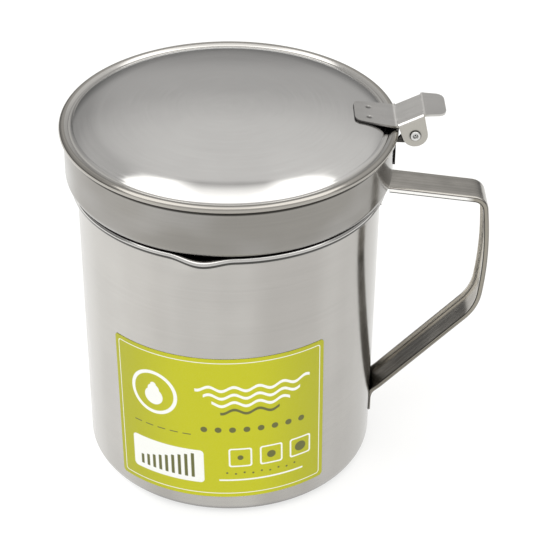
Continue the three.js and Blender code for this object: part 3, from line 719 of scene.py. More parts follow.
def steel(name, tint, place, along, across, roughness, relief, depth, spread=0.0, shade=0.86,
          nook=2.5, hollow=20, patches=None):
    """A sheet steel finish and its shader, darkened with painted shade in nooks and deep hollows,
    sized in millimetres.

    Along and across are the brushing's marks per metre. Relief is the share of the brushing in a
    relief of some depth, in metres. Shade is how dark the darker marks are. Spread draws the
    reflections out along the axis. Patches recolour some of the finish.
    """
    material = bpy.data.materials.new(name)
    tree = emptied(material)
    surface = placed(steel_surface(), {
        "Place": object_place(tree), "Brush place": place(tree),
        "Along": along, "Across": across,
        "Tint": (*tint, 1), "Shade": (*(part * shade for part in tint), 1),
        "Roughness": roughness, "Relief": relief,
    })
    bump = node(tree, "ShaderNodeBump", {
        "Strength": 1.0, "Distance": depth, "Height": surface["Height"],
    })
    # Painted shade: ambient occlusion darkens the colour towards near black in nooks and deep
    # hollows.
    clear = times(openness(tree, nook * MM, 0.6, 0.9), openness(tree, hollow * MM, 0.12, 0.5))
    colour = patches(tree, surface["Colour"]) if patches else surface["Colour"]
    nook_shaded_colour = blended(clear, tuple(part * 0.06 for part in tint), colour)
    shader = node(tree, "ShaderNodeBsdfPrincipled", {
        "Base Color": nook_shaded_colour, "Roughness": surface["Roughness"], "Metallic": 1.0,
        "Normal": bump.outputs["Normal"], "Anisotropic": spread, "Anisotropic Rotation": 0.25,
    })
    if spread:
        ring = node(tree, "ShaderNodeTangent", direction_type="RADIAL", axis="Z")
        feed(shader.inputs["Tangent"], ring.outputs["Tangent"])
    ended(shader)
    return material, shader


def clouded(colour, clouds, low, high, factors):
    """A colour multiplied by factors where a noise rises from low to high."""
    return blended(ranged(clouds, low, high, smooth=True), colour, stretched(colour, factors))


def pot_finish():
    """Satin steel, drawn out along the wall; lighter on the rolled rim as painted highlight, with a
    painted shadow under the rim; rougher inside, with a lighter tint there as painted light.
    """
    inside_painted_light_tint, inside_roughness = (0.78, 0.77, 0.75), 0.42
    rim_highlight_tint, rim_shadow = (0.57, 0.56, 0.545), (0.02, 0.02, 0.018)

    def inside(tree):
        """1 on the wall's inner face and on the floor."""
        inward = vector("DOT_PRODUCT", object_place(tree), normal_of(tree))
        floor = ranged(axis_distance(tree), 50 * MM, 51 * MM, 1, 0)
        return either(ranged(inward, -0.03, -0.02, 1, 0), floor)

    def recoloured(tree, colour):
        # Painted light: the inner face and the floor get a lighter tint.
        colour = blended(inside(tree), colour, inside_painted_light_tint)
        # Painted shadow on the rolled rim's underside.
        dark = times(stored(tree, "roll"), ranged(xyz(normal_of(tree))["Z"], 0.0, 0.2, 0.92, 0))
        bands = noise(stretched(object_place(tree), (46, 46, 1.5)), 1.0, 1.0)
        colour = clouded(colour, bands, 0.35, 0.65, (0.88, 0.875, 0.87))
        # Painted highlight: the rolled rim gets a lighter tint.
        colour = blended(stored(tree, "roll"), colour, rim_highlight_tint)
        return blended(dark, colour, rim_shadow)

    material, shader = steel(
        "pot_finish", context_of("steel").satin, object_place, along=14.0, across=1500.0,
        roughness=0.13, relief=0.8, depth=1e-6, spread=0.9, shade=0.92, nook=1.5,
        patches=recoloured)
    tree = material.node_tree
    feed(shader.inputs["Anisotropic"], ranged(stored(tree, "roll"), 0, 1, 0.9, 0.1))
    rough = shader.inputs["Roughness"].links[0].from_socket
    duller = times(inside(tree), inside_roughness)
    feed(shader.inputs["Roughness"], calc("MAXIMUM", rough, duller))
    return material


def collar_finish():
    """Satin steel in faint clouds, with a painted shade line just under where the lid's edge rests.
    """

    def painted_dark_lines(tree, colour):
        place = object_place(tree)
        # Painted shade: a near-black band just under the lid's rolled edge.
        dark = ranged(xyz(place)["Z"], LID_SEAT - 1.5 * MM, LID_SEAT - 1.1 * MM, 0, 0.9)
        clouds = noise(stretched(place, (1, 1, 1.6)), 32.0, 1.0)
        colour = clouded(colour, clouds, 0.38, 0.62, (0.86, 0.85, 0.83))
        return blended(dark, colour, (0.02, 0.018, 0.015))

    return steel("collar_finish", context_of("steel").collar, object_place, along=10.0,
                 across=1300.0, roughness=0.14, relief=0.6, depth=1e-6, spread=0.9, shade=0.9,
                 nook=2.0, patches=painted_dark_lines)[0]


def lid_finish():
    """Bright steel, darker and warmer on its ring and its rolled edge."""

    def edge(tree, colour):
        lid = context_of("lid")
        radius = axis_distance(tree)
        rim = lid.radius - 2.2 * MM
        for low, high, factors in (
                (lid.foot_radius - 0.4 * MM, lid.foot_radius + 0.4 * MM, (0.87, 0.86, 0.84)),
                (rim, rim + 0.3 * MM, (0.68, 0.665, 0.64))):
            colour = blended(ranged(radius, low, high), colour, stretched(colour, factors))
        return colour

    return steel("lid_finish", context_of("steel").polished, ring_place, along=30.0,
                 across=1500.0, roughness=0.11, relief=0.6, depth=1.2e-6, shade=0.93, nook=0.3,
                 patches=edge)[0]


def stamped(name, tint, roughness, patches=None):
    """Finely brushed steel of a stamped strip or plate."""
    return steel(name, tint, lengthwise_place, along=60.0, across=2600.0, roughness=roughness,
                 relief=1.0, depth=2e-6, patches=patches)[0]


def tab_finish():
    """Stamped steel, with a painted highlight on its rise, darker on its ears' outer faces, and
    painted shade in its weld marks.
    """

    def worn(tree, colour):
        tab = context_of("hinge")
        x, y, _ = xyz(object_place(tree))
        side = calc("ABSOLUTE", y)
        rise = between(x, tab.valley_reach, tab.ridge_reach)
        # Painted highlight: the rise is lightened.
        colour = blended(rise, colour, scaled(colour, 1.76))
        ear = ranged(side, tab.ear_width / 2 - 0.25 * MM, tab.ear_width / 2)
        colour = blended(ear, colour, (0.42, 0.405, 0.37))
        # Painted shade: the weld marks' dimples are darkened.
        mark = vector("LENGTH", vector("SUBTRACT", combined(x, side), (*WELD_MARK, 0)))
        spot = ranged(mark, 0.6 * MM, 1.15 * MM, 0.75, 0)
        return blended(spot, colour, (0.1, 0.095, 0.09))

    return stamped("tab_finish", context_of("steel").stamped, 0.2, patches=worn)


def handle_finish():
    """Stamped steel in streaks, with painted reflections and painted shade along its folded edges:
    dark flange faces, light flange faces on the strap, a light band on the far flange and dark
    lines.
    """
    flange_face_shade, strap_flange_reflection = (0.3, 0.28, 0.24), (0.9, 0.89, 0.87)
    far_flange_sheen, dark_line_shade = (0.9, 0.86, 0.78), (0.03, 0.028, 0.024)

    def edges(tree, colour):
        hand = context_of("handle")
        deep = stored(tree, "deep")
        x, y, z = xyz(object_place(tree))
        half = hand.width / 2
        fold = ranged(calc("ABSOLUTE", y), half - 0.35 * MM, half - 0.2 * MM)
        strap = times(ranged(z, 90 * MM, 91 * MM), ranged(x, 86 * MM, 89 * MM, 1, 0))
        # Painted shade on the flange faces, dark; painted reflection on the strap's flange faces,
        # light.
        face = times(fold, ranged(deep, 0.5 * MM, 0.6 * MM))
        colour = blended(face, colour, blended(strap, flange_face_shade, strap_flange_reflection))
        # Painted sheen: a light band on the far flange.
        far = between(y, half - 0.85 * MM, half - 0.4 * MM, 0.06 * MM)
        colour = blended(far, colour, far_flange_sheen)
        # Painted shade: dark lines along the folds and the inner crease.
        crease = between(y, half - 1.2 * MM, half - 0.95 * MM, 0.06 * MM)
        line = between(deep, 0.25 * MM, 0.5 * MM, 0.08 * MM)
        lower = times(between(deep, 1.0 * MM, 1.25 * MM, 0.08 * MM),
                      ranged(z, 50 * MM, 60 * MM, 1, 0))
        end = ranged(deep, hand.flange - 0.45 * MM, hand.flange - 0.3 * MM)
        painted_dark_lines = times(times(fold, either(line, lower, end)), 0.92)
        inner = times(crease, ranged(deep, 0.6 * MM, 0.65 * MM, 0, 0.8))
        return blended(either(painted_dark_lines, inner), colour, dark_line_shade)

    return steel("handle_finish", context_of("steel").handle, lengthwise_place, along=9.0,
                 across=1500.0, roughness=0.2, relief=1.0, depth=4e-6, shade=0.5, nook=0.9,
                 hollow=3, patches=edges)[0]


def shaded_bracket_finish():
    # Painted shade: the bracket's steel is near black.
    return stamped("shaded_bracket_finish", context_of("steel").bracket, 0.22)


def rivet_finish():
    return steel("rivet_finish", context_of("steel").rivet, object_place, along=400.0,
                 across=1500.0, roughness=0.22, relief=0.6, depth=2e-6, nook=0.6)[0]


# Pot


def pot_radius_at(height):
    pot = context_of("pot")
    foot = pot.radius - pot.taper
    return foot + (pot.radius - foot) * height / pot.height


def pot_outline():
    pot = context_of("pot")
    inside = pot.radius - pot.sheet
    foot = pot.radius - pot.taper
    bead = Vector((inside + pot.bead, pot.height - pot.bead))
    bead_start = -math.acos((pot.sheet - pot.bead) / pot.bead)
    throat = pot.height - pot.spout_throat
    bead_foot = bead.y + pot.bead * math.sin(bead_start)
    heights = [pot.corner + (throat - pot.corner) * i / 5 for i in range(1, 6)]
    heights += [throat + (bead_foot - throat) * i / 14 for i in range(1, 14)]
    return [
        Vector((0, 0)),
        *straight((12 * MM, 0), (foot - pot.corner - 4 * MM, 0), 3),
        *arc((foot - pot.corner, pot.corner), pot.corner, -QUARTER, 0, 14),
        *(Vector((pot_radius_at(z), z)) for z in heights),
        *arc(bead, pot.bead, bead_start, math.pi, 28),
        *(Vector((pot_radius_at(z) - pot.sheet, z)) for z in reversed(heights)),
        *arc((foot - pot.corner, pot.corner), pot.corner - pot.sheet, 0, -QUARTER, 12),
        *reversed(straight((12 * MM, pot.sheet), (foot - pot.corner - 4 * MM, pot.sheet), 3)),
        Vector((0, pot.sheet)),
    ]


def spout_press(turn, point):
    """A point of the pot's outline, pressed down and out near the spout."""
    pot = context_of("pot")
    away = (turn - pot.spout_turn + math.pi) % (2 * math.pi) - math.pi
    across = min(abs(away) * pot.radius / (pot.spout_width / 2), 1)
    up = smoothstep(point.y, pot.height - pot.spout_throat, pot.height - 2 * pot.bead)
    press = up * (1 + math.cos(math.pi * across)) / 2
    return point.x + pot.spout_bulge * press, point.y - pot.spout_drop * press


class GREASE_OT_pot(Operator):
    """Builds the drawn pot with its rolled rim and pouring spout"""

    bl_idname = "grease.pot"
    bl_label = "Pot"

    def execute(self, context):
        pot = context_of("pot")
        turns = []
        for even in even_turns(pot.columns):
            away = (even + math.pi) % (2 * math.pi) - math.pi
            turns.append(pot.spout_turn + away - pot.packing * math.sin(away))
        turns.sort()
        shell = turned("pot_shell", pot_outline(), turns, spout_press, pot.radius + 0.2 * MM)
        installed(shell, "pot", "pot_body", pot_finish())
        return {"FINISHED"}


# Handle


def handle_line():
    """The sheet's face from the lower plate's edge, along the outside, to the upper plate's edge."""
    hand = context_of("handle")
    pot = context_of("pot")
    level = pot.height - hand.strap_drop
    strap = Vector((pot_radius_at(level), level))
    foot = Vector((pot_radius_at(hand.foot_height), hand.foot_height))
    grip = Vector((hand.grip_reach, hand.grip_height))
    upper = crossing(strap, -hand.strap_slope, grip, QUARTER + hand.grip_lean)
    lower = crossing(foot, hand.diagonal, grip, QUARTER - hand.grip_lean)
    low_face = pot_radius_at(hand.foot_height) + TOUCH + hand.sheet
    high_face = pot_radius_at(level) + TOUCH
    corners = [
        Vector((pot_radius_at(hand.lower_plate) + TOUCH + hand.sheet, hand.lower_plate)),
        crossing(foot, hand.diagonal, (low_face, 0), QUARTER),
        lower, grip, upper,
        crossing(strap, -hand.strap_slope, (high_face, 0), QUARTER),
        Vector((pot_radius_at(hand.upper_plate) + TOUCH, hand.upper_plate)),
    ]
    radii = [5 * MM, hand.lower_bend, hand.bow, hand.upper_bend, 1.8 * MM]
    return rounded(corners, radii, math.radians(6), 0.8 * MM)


def channel_profile(half, depth, sheet, edge):
    """A flanged section as (across, inwards), with rounded edges, as one closed loop."""
    inner = max(edge - sheet, 0.12 * MM)
    outer = [(-half, depth), (-half, min(depth, edge + 0.9 * (depth - edge)))]
    outer += [(-half + edge - edge * math.cos(t), edge - edge * math.sin(t))
              for t in (QUARTER * i / 5 for i in range(6))]
    span = half - edge
    outer += [(-span + 2 * span * i / 28, 0) for i in range(1, 15)]
    outer += [(-x, n) for x, n in reversed(outer[:-1])]
    web = half - sheet - inner
    under = [(half - sheet, depth)]
    under += [(web + inner * math.cos(t), min(depth, sheet + inner - inner * math.sin(t)))
              for t in (QUARTER * i / 4 for i in range(5))]
    under += [(web - 2 * web * i / 28, sheet) for i in range(1, 15)]
    under += [(-x, n) for x, n in reversed(under[:-1])]
    return outer + under


def handle_rows():
    hand = context_of("handle")
    line = handle_line()
    half = hand.width / 2
    travelled = 0
    lengths = [0.0]
    for before, after in zip(line, line[1:]):
        travelled += (after - before).length
        lengths.append(travelled)
    rows = []
    for i, point in enumerate(line):
        inwards = left_of(line, i)
        low = point.y < hand.foot_height + 1.5 * MM
        wall = pot_radius_at(point.y)
        near = point.x - wall
        hug = 1 - smoothstep(near, 1.2 * MM, 4.5 * MM)
        plain = hand.sheet * 1.02
        if point.y > hand.grip_height / 2:
            depth = hand.flange if point.x > hand.flange_reach else plain
        else:
            depth = min(max((near - 0.3 * MM) / math.sin(hand.diagonal), plain), hand.flange)
        end = min(lengths[i], travelled - lengths[i])
        corner = hand.plate_corner
        trim = 0 if end > corner else corner - math.sqrt(max(corner**2 - (corner - end)**2, 0))
        rows.append((point, inwards, depth, hug, half - trim, wall, end, low))
    return rows


class GREASE_OT_handle(Operator):
    """Builds the flanged handle with a plate at each end"""

    bl_idname = "grease.handle"
    bl_label = "Handle"

    def execute(self, context):
        hand = context_of("handle")
        rows = handle_rows()
        steps = []
        for here, after in zip(rows, rows[1:] + [None]):
            steps.append(here)
            if after and abs(here[2] - after[2]) > hand.sheet:
                fuller = max(here[2], after[2])
                point = here[0].lerp(after[0], 0.5)
                steps.append((point, here[1], here[2], *here[3:]))
                other = after[2] if here[2] == fuller else fuller
                steps.append((point, here[1], other, *here[3:]))
        spot_aside, spot_inset, spot_depth = 3.2 * MM, 4.2 * MM, 0.22 * MM
        verts, faces, depths = [], [], []
        for point, inwards, depth, hug, half, wall, end, low in steps:
            edge = min(hand.edge, 0.7 * depth)
            for across, deep in channel_profile(half, depth, hand.sheet, edge):
                depths.append(deep)
                sag = wall - math.sqrt(wall**2 - across**2)
                away = math.hypot(abs(across) - spot_aside, end - spot_inset)
                dent = spot_depth * (1 - smoothstep(away, 0.5 * MM, 1.1 * MM))
                deep += dent if low else -dent
                place = point + inwards * deep
                verts.append((place.x - sag * hug, across, place.y))
        ring = len(verts) // len(steps)
        for i in range(len(steps) - 1):
            for j in range(ring):
                a, b = i * ring + j, i * ring + (j + 1) % ring
                faces.append([a, b, b + ring, a + ring])
        faces.append(list(range(ring)))
        faces.append([len(verts) - ring + j for j in range(ring)])
        channel = piece_of("handle_channel", verts, faces, deep=depths)
        installed(channel, "pot", "handle", handle_finish())
        return {"FINISHED"}


# Label


def label_rows(radial):
    """Points of the sticker at a distance from the wall, with their places on the flat sticker."""
    label = context_of("label")
    half_width, half_height = label.width / 2, label.height / 2
    rows_each_way, points_each_way = 32, 48
    centre = label.bottom + half_height
    rows = []
    for i in range(2 * rows_each_way + 1):
        up = half_height * (i / rows_each_way - 1)
        over = max(abs(up) - half_height + label.corner, 0)
        reach = half_width - label.corner + math.sqrt(max(label.corner**2 - over**2, 0))
        row = []
        for j in range(2 * points_each_way + 1):
            along = reach * (j / points_each_way - 1)
            x = along * math.cos(label.tilt) - up * math.sin(label.tilt)
            z = centre + along * math.sin(label.tilt) + up * math.cos(label.tilt)
            turn = label.turn + x / pot_radius_at(centre)
            radius = pot_radius_at(z) + radial
            row.append((Vector((radius * math.sin(turn), -radius * math.cos(turn), z)),
                        (along + half_width, up + half_height)))
        rows.append(row)
    return rows


def without(mask, hole):
    return times(mask, minus(1.0, hole))


def label_print(place):
    """Masks of the light and the dark motifs. Their places and sizes are in millimetres."""
    across, up, _ = xyz(place)
    soft = 0.12 * MM

    def off(x, y):
        return vector("SUBTRACT", place, (x * MM, y * MM, 0))

    def inside(away, reach):
        return ranged(away, reach * MM - soft, reach * MM + soft, 1, 0)

    def circle(x, y, radius):
        return inside(vector("LENGTH", off(x, y)), radius)

    def panel(x, y, wide, tall, corner):
        """A rectangle with rounded corners, from half its width and half its height."""
        over = vector("SUBTRACT", vector("ABSOLUTE", off(x, y)),
                      ((wide - corner) * MM, (tall - corner) * MM, 0))
        return inside(vector("LENGTH", vector("MAXIMUM", over, (0, 0, 0))), corner)

    def wave(level, start, end):
        """A waved stripe that runs along the sticker from start to end."""
        swing, period, thick, fade = 0.9, 9, 0.62, 0.3 * MM
        phase = times(across, 2 * math.pi / (period * MM))
        line = calc("MULTIPLY_ADD", calc("SINE", phase), swing * MM, level * MM)
        begun = ranged(across, start * MM, start * MM + fade)
        over = ranged(across, end * MM - fade, end * MM, 1, 0)
        return times(inside(calc("ABSOLUTE", minus(up, line)), thick), times(begun, over))

    waves = [wave(50 - 3.4 * k, 33 + 3 * k, 76 - 4 * k) for k in range(4)]
    light = [
        without(circle(17, 44, 9.5), circle(17, 44, 8.1)),
        *(circle(17, y, radius) for y, radius in ((42.3, 3.7), (45.2, 2.4), (47.3, 1.2))),
        *waves[:3],
        panel(21, 14, 14.5, 7.5, 1.6),
        *(without(panel(49 + 11.5 * k, 18.5, 4.3, 4.3, 1),
                  panel(49 + 11.5 * k, 18.5, 3.7, 3.7, 0.7)) for k in range(3)),
        panel(57, 8, 16, 0.35, 0.2),
        without(panel(41, 31.6, 39.4, 30, 1.2), panel(41, 31.6, 39.1, 29.7, 1)),
    ]
    talls = [2.2 + 0.42 * k for k in range(9)]
    dark = [
        *(panel(10.5 + 2.6 * k, 8.6 + tall, 0.62, tall, 0.25) for k, tall in enumerate(talls)),
        waves[3],
        *(circle(36 + 5.2 * k, 31.5, 1.25) for k in range(8)),
        *(circle(49 + 11.5 * k, 18.5, 1.1 + 0.55 * k) for k in range(3)),
        *(circle(44 + 3.2 * k, 11.4 - 0.5 * (k % 2), 0.42) for k in range(9)),
        *(panel(9.5 + 5 * k, 28.5, 1.6, 0.22, 0.15) for k in range(5)),
    ]
    return either(*light), either(*dark)


def label_film():
    """Printed film: a green-yellow ground with light and dark motifs."""
    label = context_of("label")
    material = bpy.data.materials.new("label_film")
    tree = emptied(material)
    flat = node(tree, "ShaderNodeUVMap", uv_map="sticker").outputs["UV"]
    place = scaled(flat, 1 / PER_METRE)
    light, dark = label_print(place)
    off_centre = calc("ABSOLUTE", minus(xyz(place)["X"], label.width / 2))
    # The ground darkens towards the sticker's two ends.
    ground = blended(ranged(off_centre, 0.01, 0.04, smooth=True), label.field, label.shade)
    smudge = placed(handling_marks(), {"Place": object_place(tree)})["Smudge"]
    fibre = noise(object_place(tree), 1500.0, 3.0, 0.6)
    ground = blended(ranged(fibre, 0.3, 0.7, 0.0, 0.015), ground, label.light)
    printed = blended(dark, blended(light, ground, label.light), label.dark)
    bump = node(tree, "ShaderNodeBump", {
        "Strength": 1.0, "Distance": 4e-6, "Height": plus(fibre, smudge),
    })
    ended(node(tree, "ShaderNodeBsdfPrincipled", {
        "Base Color": printed, "Roughness": plus(0.4, times(smudge, 0.12)),
        "Normal": bump.outputs["Normal"], "Specular IOR Level": 0.25,
    }))
    return material


class GREASE_OT_label(Operator):
    """Builds the sticker on the front of the pot"""

    bl_idname = "grease.label"
    bl_label = "Label"

    def execute(self, context):
        label = context_of("label")
        layers = [label_rows(0.02 * MM), label_rows(0.02 * MM + label.sheet)]
        tall, wide = len(layers[0]), len(layers[0][0])
        size = tall * wide
        verts = [point for rows in layers for row in rows for point, _ in row]
        flat = [at for rows in layers for row in rows for _, at in row]
        faces = []
        for i in range(tall - 1):
            for j in range(wide - 1):
                a = i * wide + j
                faces.append([a, a + wide, a + wide + 1, a + 1])
                faces.append([size + k for k in (a, a + 1, a + wide + 1, a + wide)])
        rim = [*range(wide)]
        rim += [i * wide + wide - 1 for i in range(1, tall)]
        rim += [(tall - 1) * wide + j for j in range(wide - 2, -1, -1)]
        rim += [i * wide for i in range(tall - 2, 0, -1)]
        for a, b in zip(rim, rim[1:] + rim[:1]):
            faces.append([a, b, size + b, size + a])
        mesh = mesh_of("label_sticker", verts, faces)
        layer = mesh.uv_layers.new(name="sticker")
        for loop in mesh.loops:
            at = flat[loop.vertex_index]
            layer.data[loop.index].uv = (at[0] * PER_METRE, at[1] * PER_METRE)
        sticker = dressed(bpy.data.objects.new("label_sticker", mesh), 40)
        installed(sticker, "pot", "label", label_film())
        return {"FINISHED"}


# Strainer cup


def strainer_outline():
    cup = context_of("strainer")
    foot = cup.basket_radius - cup.basket_taper
    face = [
        *straight((0, -cup.basket_depth),
                  (foot - cup.basket_corner - 1 * MM, -cup.basket_depth), 4),
        *arc((foot - cup.basket_corner, cup.basket_corner - cup.basket_depth),
             cup.basket_corner, -QUARTER, 0, 12),
        *arc((cup.basket_radius + cup.throat, -cup.throat), cup.throat, math.pi, QUARTER, 8),
        *arc((cup.collar_radius - cup.collar_corner, cup.collar_corner),
             cup.collar_corner, -QUARTER, 0, 16),
    ]
    lip = cup.sheet / 2
    face.append(Vector((cup.collar_radius, cup.collar_height - lip - 0.4 * MM)))
    inner = offset(face, cup.sheet)
    top = arc((cup.collar_radius - lip, cup.collar_height - lip), lip, 0, math.pi, 8)
    return [point + Vector((0, SEAT)) for point in [*face, *top, *reversed(inner)]]


def drain_holes():
    """One cutting body of all the drain holes."""
    cup = context_of("strainer")
    verts, faces = [], []
    places = [(0, 0)]
    for ring in range(1, cup.hole_rings + 1):
        for i in range(6 * ring):
            turn = 2 * math.pi * i / (6 * ring)
            places.append((ring * cup.hole_pitch * math.cos(turn),
                           ring * cup.hole_pitch * math.sin(turn)))
    sides = 20
    low, high = SEAT - cup.basket_depth - 1 * MM, SEAT - cup.basket_depth + cup.sheet + 1 * MM
    for x, y in places:
        start = len(verts)
        for height in (low, high):
            for i in range(sides):
                turn = 2 * math.pi * i / sides
                verts.append((x + cup.hole_radius * math.cos(turn),
                              y + cup.hole_radius * math.sin(turn), height))
        faces.append([start + i for i in range(sides)])
        faces.append([start + sides + i for i in range(sides)])
        for i in range(sides):
            a, b = start + i, start + (i + 1) % sides
            faces.append([a, b, b + sides, a + sides])
    return piece_of("drain_cutter", verts, faces)


class GREASE_OT_strainer(Operator):
    """Builds the strainer cup with its perforated basket"""

    bl_idname = "grease.strainer"
    bl_label = "Strainer cup"

    def execute(self, context):
        cup = context_of("strainer")
        shell = turned("strainer_shell", strainer_outline(), even_turns(cup.columns))
        cutter = drain_holes()
        cut = shell.modifiers.new("drain", "BOOLEAN")
        cut.operation = "DIFFERENCE"
        cut.object = cutter
        cut.solver = "EXACT"
        baked(shell)
        bpy.data.objects.remove(cutter)
        installed(shell, "strainer", "strainer_cup", collar_finish())
        return {"FINISHED"}


# Lid


def dome_curve():
    """The radius of the dome's curve."""
    lid = context_of("lid")
    return (lid.dome_radius**2 + lid.dome_drop**2) / (2 * lid.dome_drop)


def dome_height_at(radius):
    curve = dome_curve()
    return context_of("lid").crown - curve + math.sqrt(curve**2 - radius**2)


def lid_outline():
    lid, curve = context_of("lid"), dome_curve()
    reach = math.asin(lid.dome_radius / curve)
    dome = arc((0, lid.crown - curve), curve, QUARTER, QUARTER - reach, 26)
    dome[0].x = 0
    edge = dome[-1]
    foot = Vector((lid.foot_radius, lid.ring_height))
    fall = Vector((-math.cos(lid.shoulder_fall), math.sin(lid.shoulder_fall))) * lid.foot_reach
    bead = Vector((lid.radius - lid.bead, lid.bead))
    top = bead + Vector((0, lid.bead))
    level = Vector((lid.ring_reach, 0))
    slope = Vector((math.cos(-reach), math.sin(-reach))) * lid.shoulder_reach
    shoulder = bezier([edge, edge + slope, foot + fall, foot], 30)
    ring = bezier([foot, foot + level, top - level, top], 14)
    crease = 0.9 * MM
    valley = bezier([foot + fall.normalized() * crease, foot, foot,
                     foot + Vector((crease, 0))], 6)
    inner = [p for p in shoulder[1:] if p.x < valley[0].x - 0.05 * MM]
    outer = [p for p in ring[1:] if p.x > valley[-1].x + 0.05 * MM]
    upper = [*dome, *inner, *valley, *outer]
    end = math.pi - math.asin((lid.bead - lid.sheet) / lid.bead)
    roll = arc(bead, lid.bead, QUARTER, end - 2 * math.pi, 32)
    lower = [point for point in offset(upper, -lid.sheet) if point.x < roll[-1].x - 0.4 * MM]
    line = [*upper[:-1], *roll, *reversed(lower)]
    return [point + Vector((0, LID_SEAT)) for point in line]


class GREASE_OT_lid(Operator):
    """Builds the domed lid with its ring and rolled edge"""

    bl_idname = "grease.lid"
    bl_label = "Lid"

    def execute(self, context):
        lid = context_of("lid")
        shell = turned("lid_shell", lid_outline(), even_turns(lid.columns))
        installed(shell, "lid", "lid", lid_finish())
        return {"FINISHED"}


# Hinge


def tab_corners():
    """Corners of the tab's upper face, seen from the side, about the rivet."""
    tab, lid = context_of("hinge"), context_of("lid")
    weld = Vector((tab.weld_reach, dome_height_at(tab.weld_reach) + tab.gap + tab.sheet))
    valley = Vector((tab.valley_reach, 2 * lid.bead + tab.gap + tab.sheet))
    ridge = Vector((tab.ridge_reach, valley.y + tab.rise))
    tip = Vector((ridge.x + tab.thumb, ridge.y - tab.thumb_drop))
    about = Vector((PIN.x, PIN.z - LID_SEAT))
    return [corner - about for corner in (weld, valley, ridge, tip)]


def tab_half_width(x, corners):
    """Half the strip's width at a distance from the rivet."""
    tab = context_of("hinge")
    weld, valley, ridge, tip = (corner.x for corner in corners)
    ear = tab.ear_width / 2
    if x < valley:
        share = (x - weld) / (valley - weld)
        half = tab.weld_width / 2 * (1 - share) + ear * share
        short = tab.weld_corner - (x - weld)
        if short > 0:
            half -= tab.weld_corner - math.sqrt(max(tab.weld_corner**2 - short**2, 0))
        return half
    if x < ridge:
        return ear
    share = (x - ridge) / (tip - ridge)
    half = ear * (1 - share) + tab.tip_width / 2 * share
    short = tab.tip_corner - (tip - x)
    if short > 0:
        half -= tab.tip_corner - math.sqrt(max(tab.tip_corner**2 - short**2, 0))
    return half


def tab_grids():
    """The tab's upper face: a strip, and two ears folded down from its rising stretch."""
    tab = context_of("hinge")
    corners = tab_corners()
    line = rounded(corners, [tab.fold, tab.fold], math.radians(5), 0.42 * MM)
    weld, valley, ridge = corners[0], corners[1], corners[2]
    along = (ridge - valley).normalized()
    normal = Vector((-along.y, along.x))
    turn = math.atan2(along.y, along.x)
    first = math.atan2(*(corners[1] - corners[0]).yx)
    last = math.atan2(*(corners[3] - corners[2]).yx)
    begin = tab.fold * math.tan(abs(turn - first) / 2)
    finish = (ridge - valley).length - tab.fold * math.tan(abs(turn - last) / 2)
    root = tab.ear_width / 2 - tab.ear_bend
    points_each_way, spot_depth = 20, 0.24 * MM
    rows, fold_line = [], []
    for point in line:
        on_rise = (point - valley).dot(along)
        straight_part = begin - 1e-7 <= on_rise <= finish + 1e-7 and \
            abs((point - valley).dot(normal)) < 1e-6
        half = root if straight_part else tab_half_width(point.x, corners)
        settle = (tab.gap - TOUCH) * (1 - smoothstep(point.x, weld.x + 3 * MM, valley.x))
        row = []
        for j in range(2 * points_each_way + 1):
            y = half * (j / points_each_way - 1)
            away = math.hypot(point.x + PIN.x - WELD_MARK[0], abs(y) - WELD_MARK[1])
            dent = spot_depth * (1 - smoothstep(away, 0.55 * tab.weld_spot, tab.weld_spot))
            row.append(Vector((point.x + PIN.x, y, point.y + PIN.z - settle - dent)))
        if straight_part:
            fold_line.append(point)
            if len(fold_line) == 1 and rows:
                rows.append([Vector((v.x, v.y * tab_half_width(point.x, corners) / half, v.z))
                             for v in row])
        elif fold_line and len(rows) and abs(abs(rows[-1][0].y) - root) < 1e-7:
            last_row = rows[-1]
            wide = tab_half_width(fold_line[-1].x, corners) / root
            rows.append([Vector((v.x, v.y * wide, v.z)) for v in last_row])
        rows.append(row)
    grids = [sheet_grid(rows)]
    lowest = [fold_line[0] - normal * tab.ear_bend, fold_line[-1] - normal * tab.ear_bend]
    start = touch_angle(lowest[0], tab.ear_radius, 1)
    end = touch_angle(lowest[1], tab.ear_radius, -1) + 2 * math.pi
    for side in (-1, 1):
        flap = []
        for i, point in enumerate(fold_line):
            part = i / (len(fold_line) - 1)
            row = []
            for k in range(9):
                bend = QUARTER * k / 8
                drop = tab.ear_bend * (1 - math.cos(bend))
                place = point - normal * drop
                y = side * (root + tab.ear_bend * math.sin(bend))
                row.append(Vector((place.x + PIN.x, y, place.y + PIN.z)))
            bottom = point - normal * tab.ear_bend
            round_turn = start + (end - start) * part
            rim = Vector((math.cos(round_turn), math.sin(round_turn))) * tab.ear_radius
            for k in range(1, 11):
                place = bottom.lerp(rim, k / 10)
                row.append(Vector((place.x + PIN.x, side * tab.ear_width / 2, place.y + PIN.z)))
            flap.append(row)
        grids.append(sheet_grid(flap))
    return grids


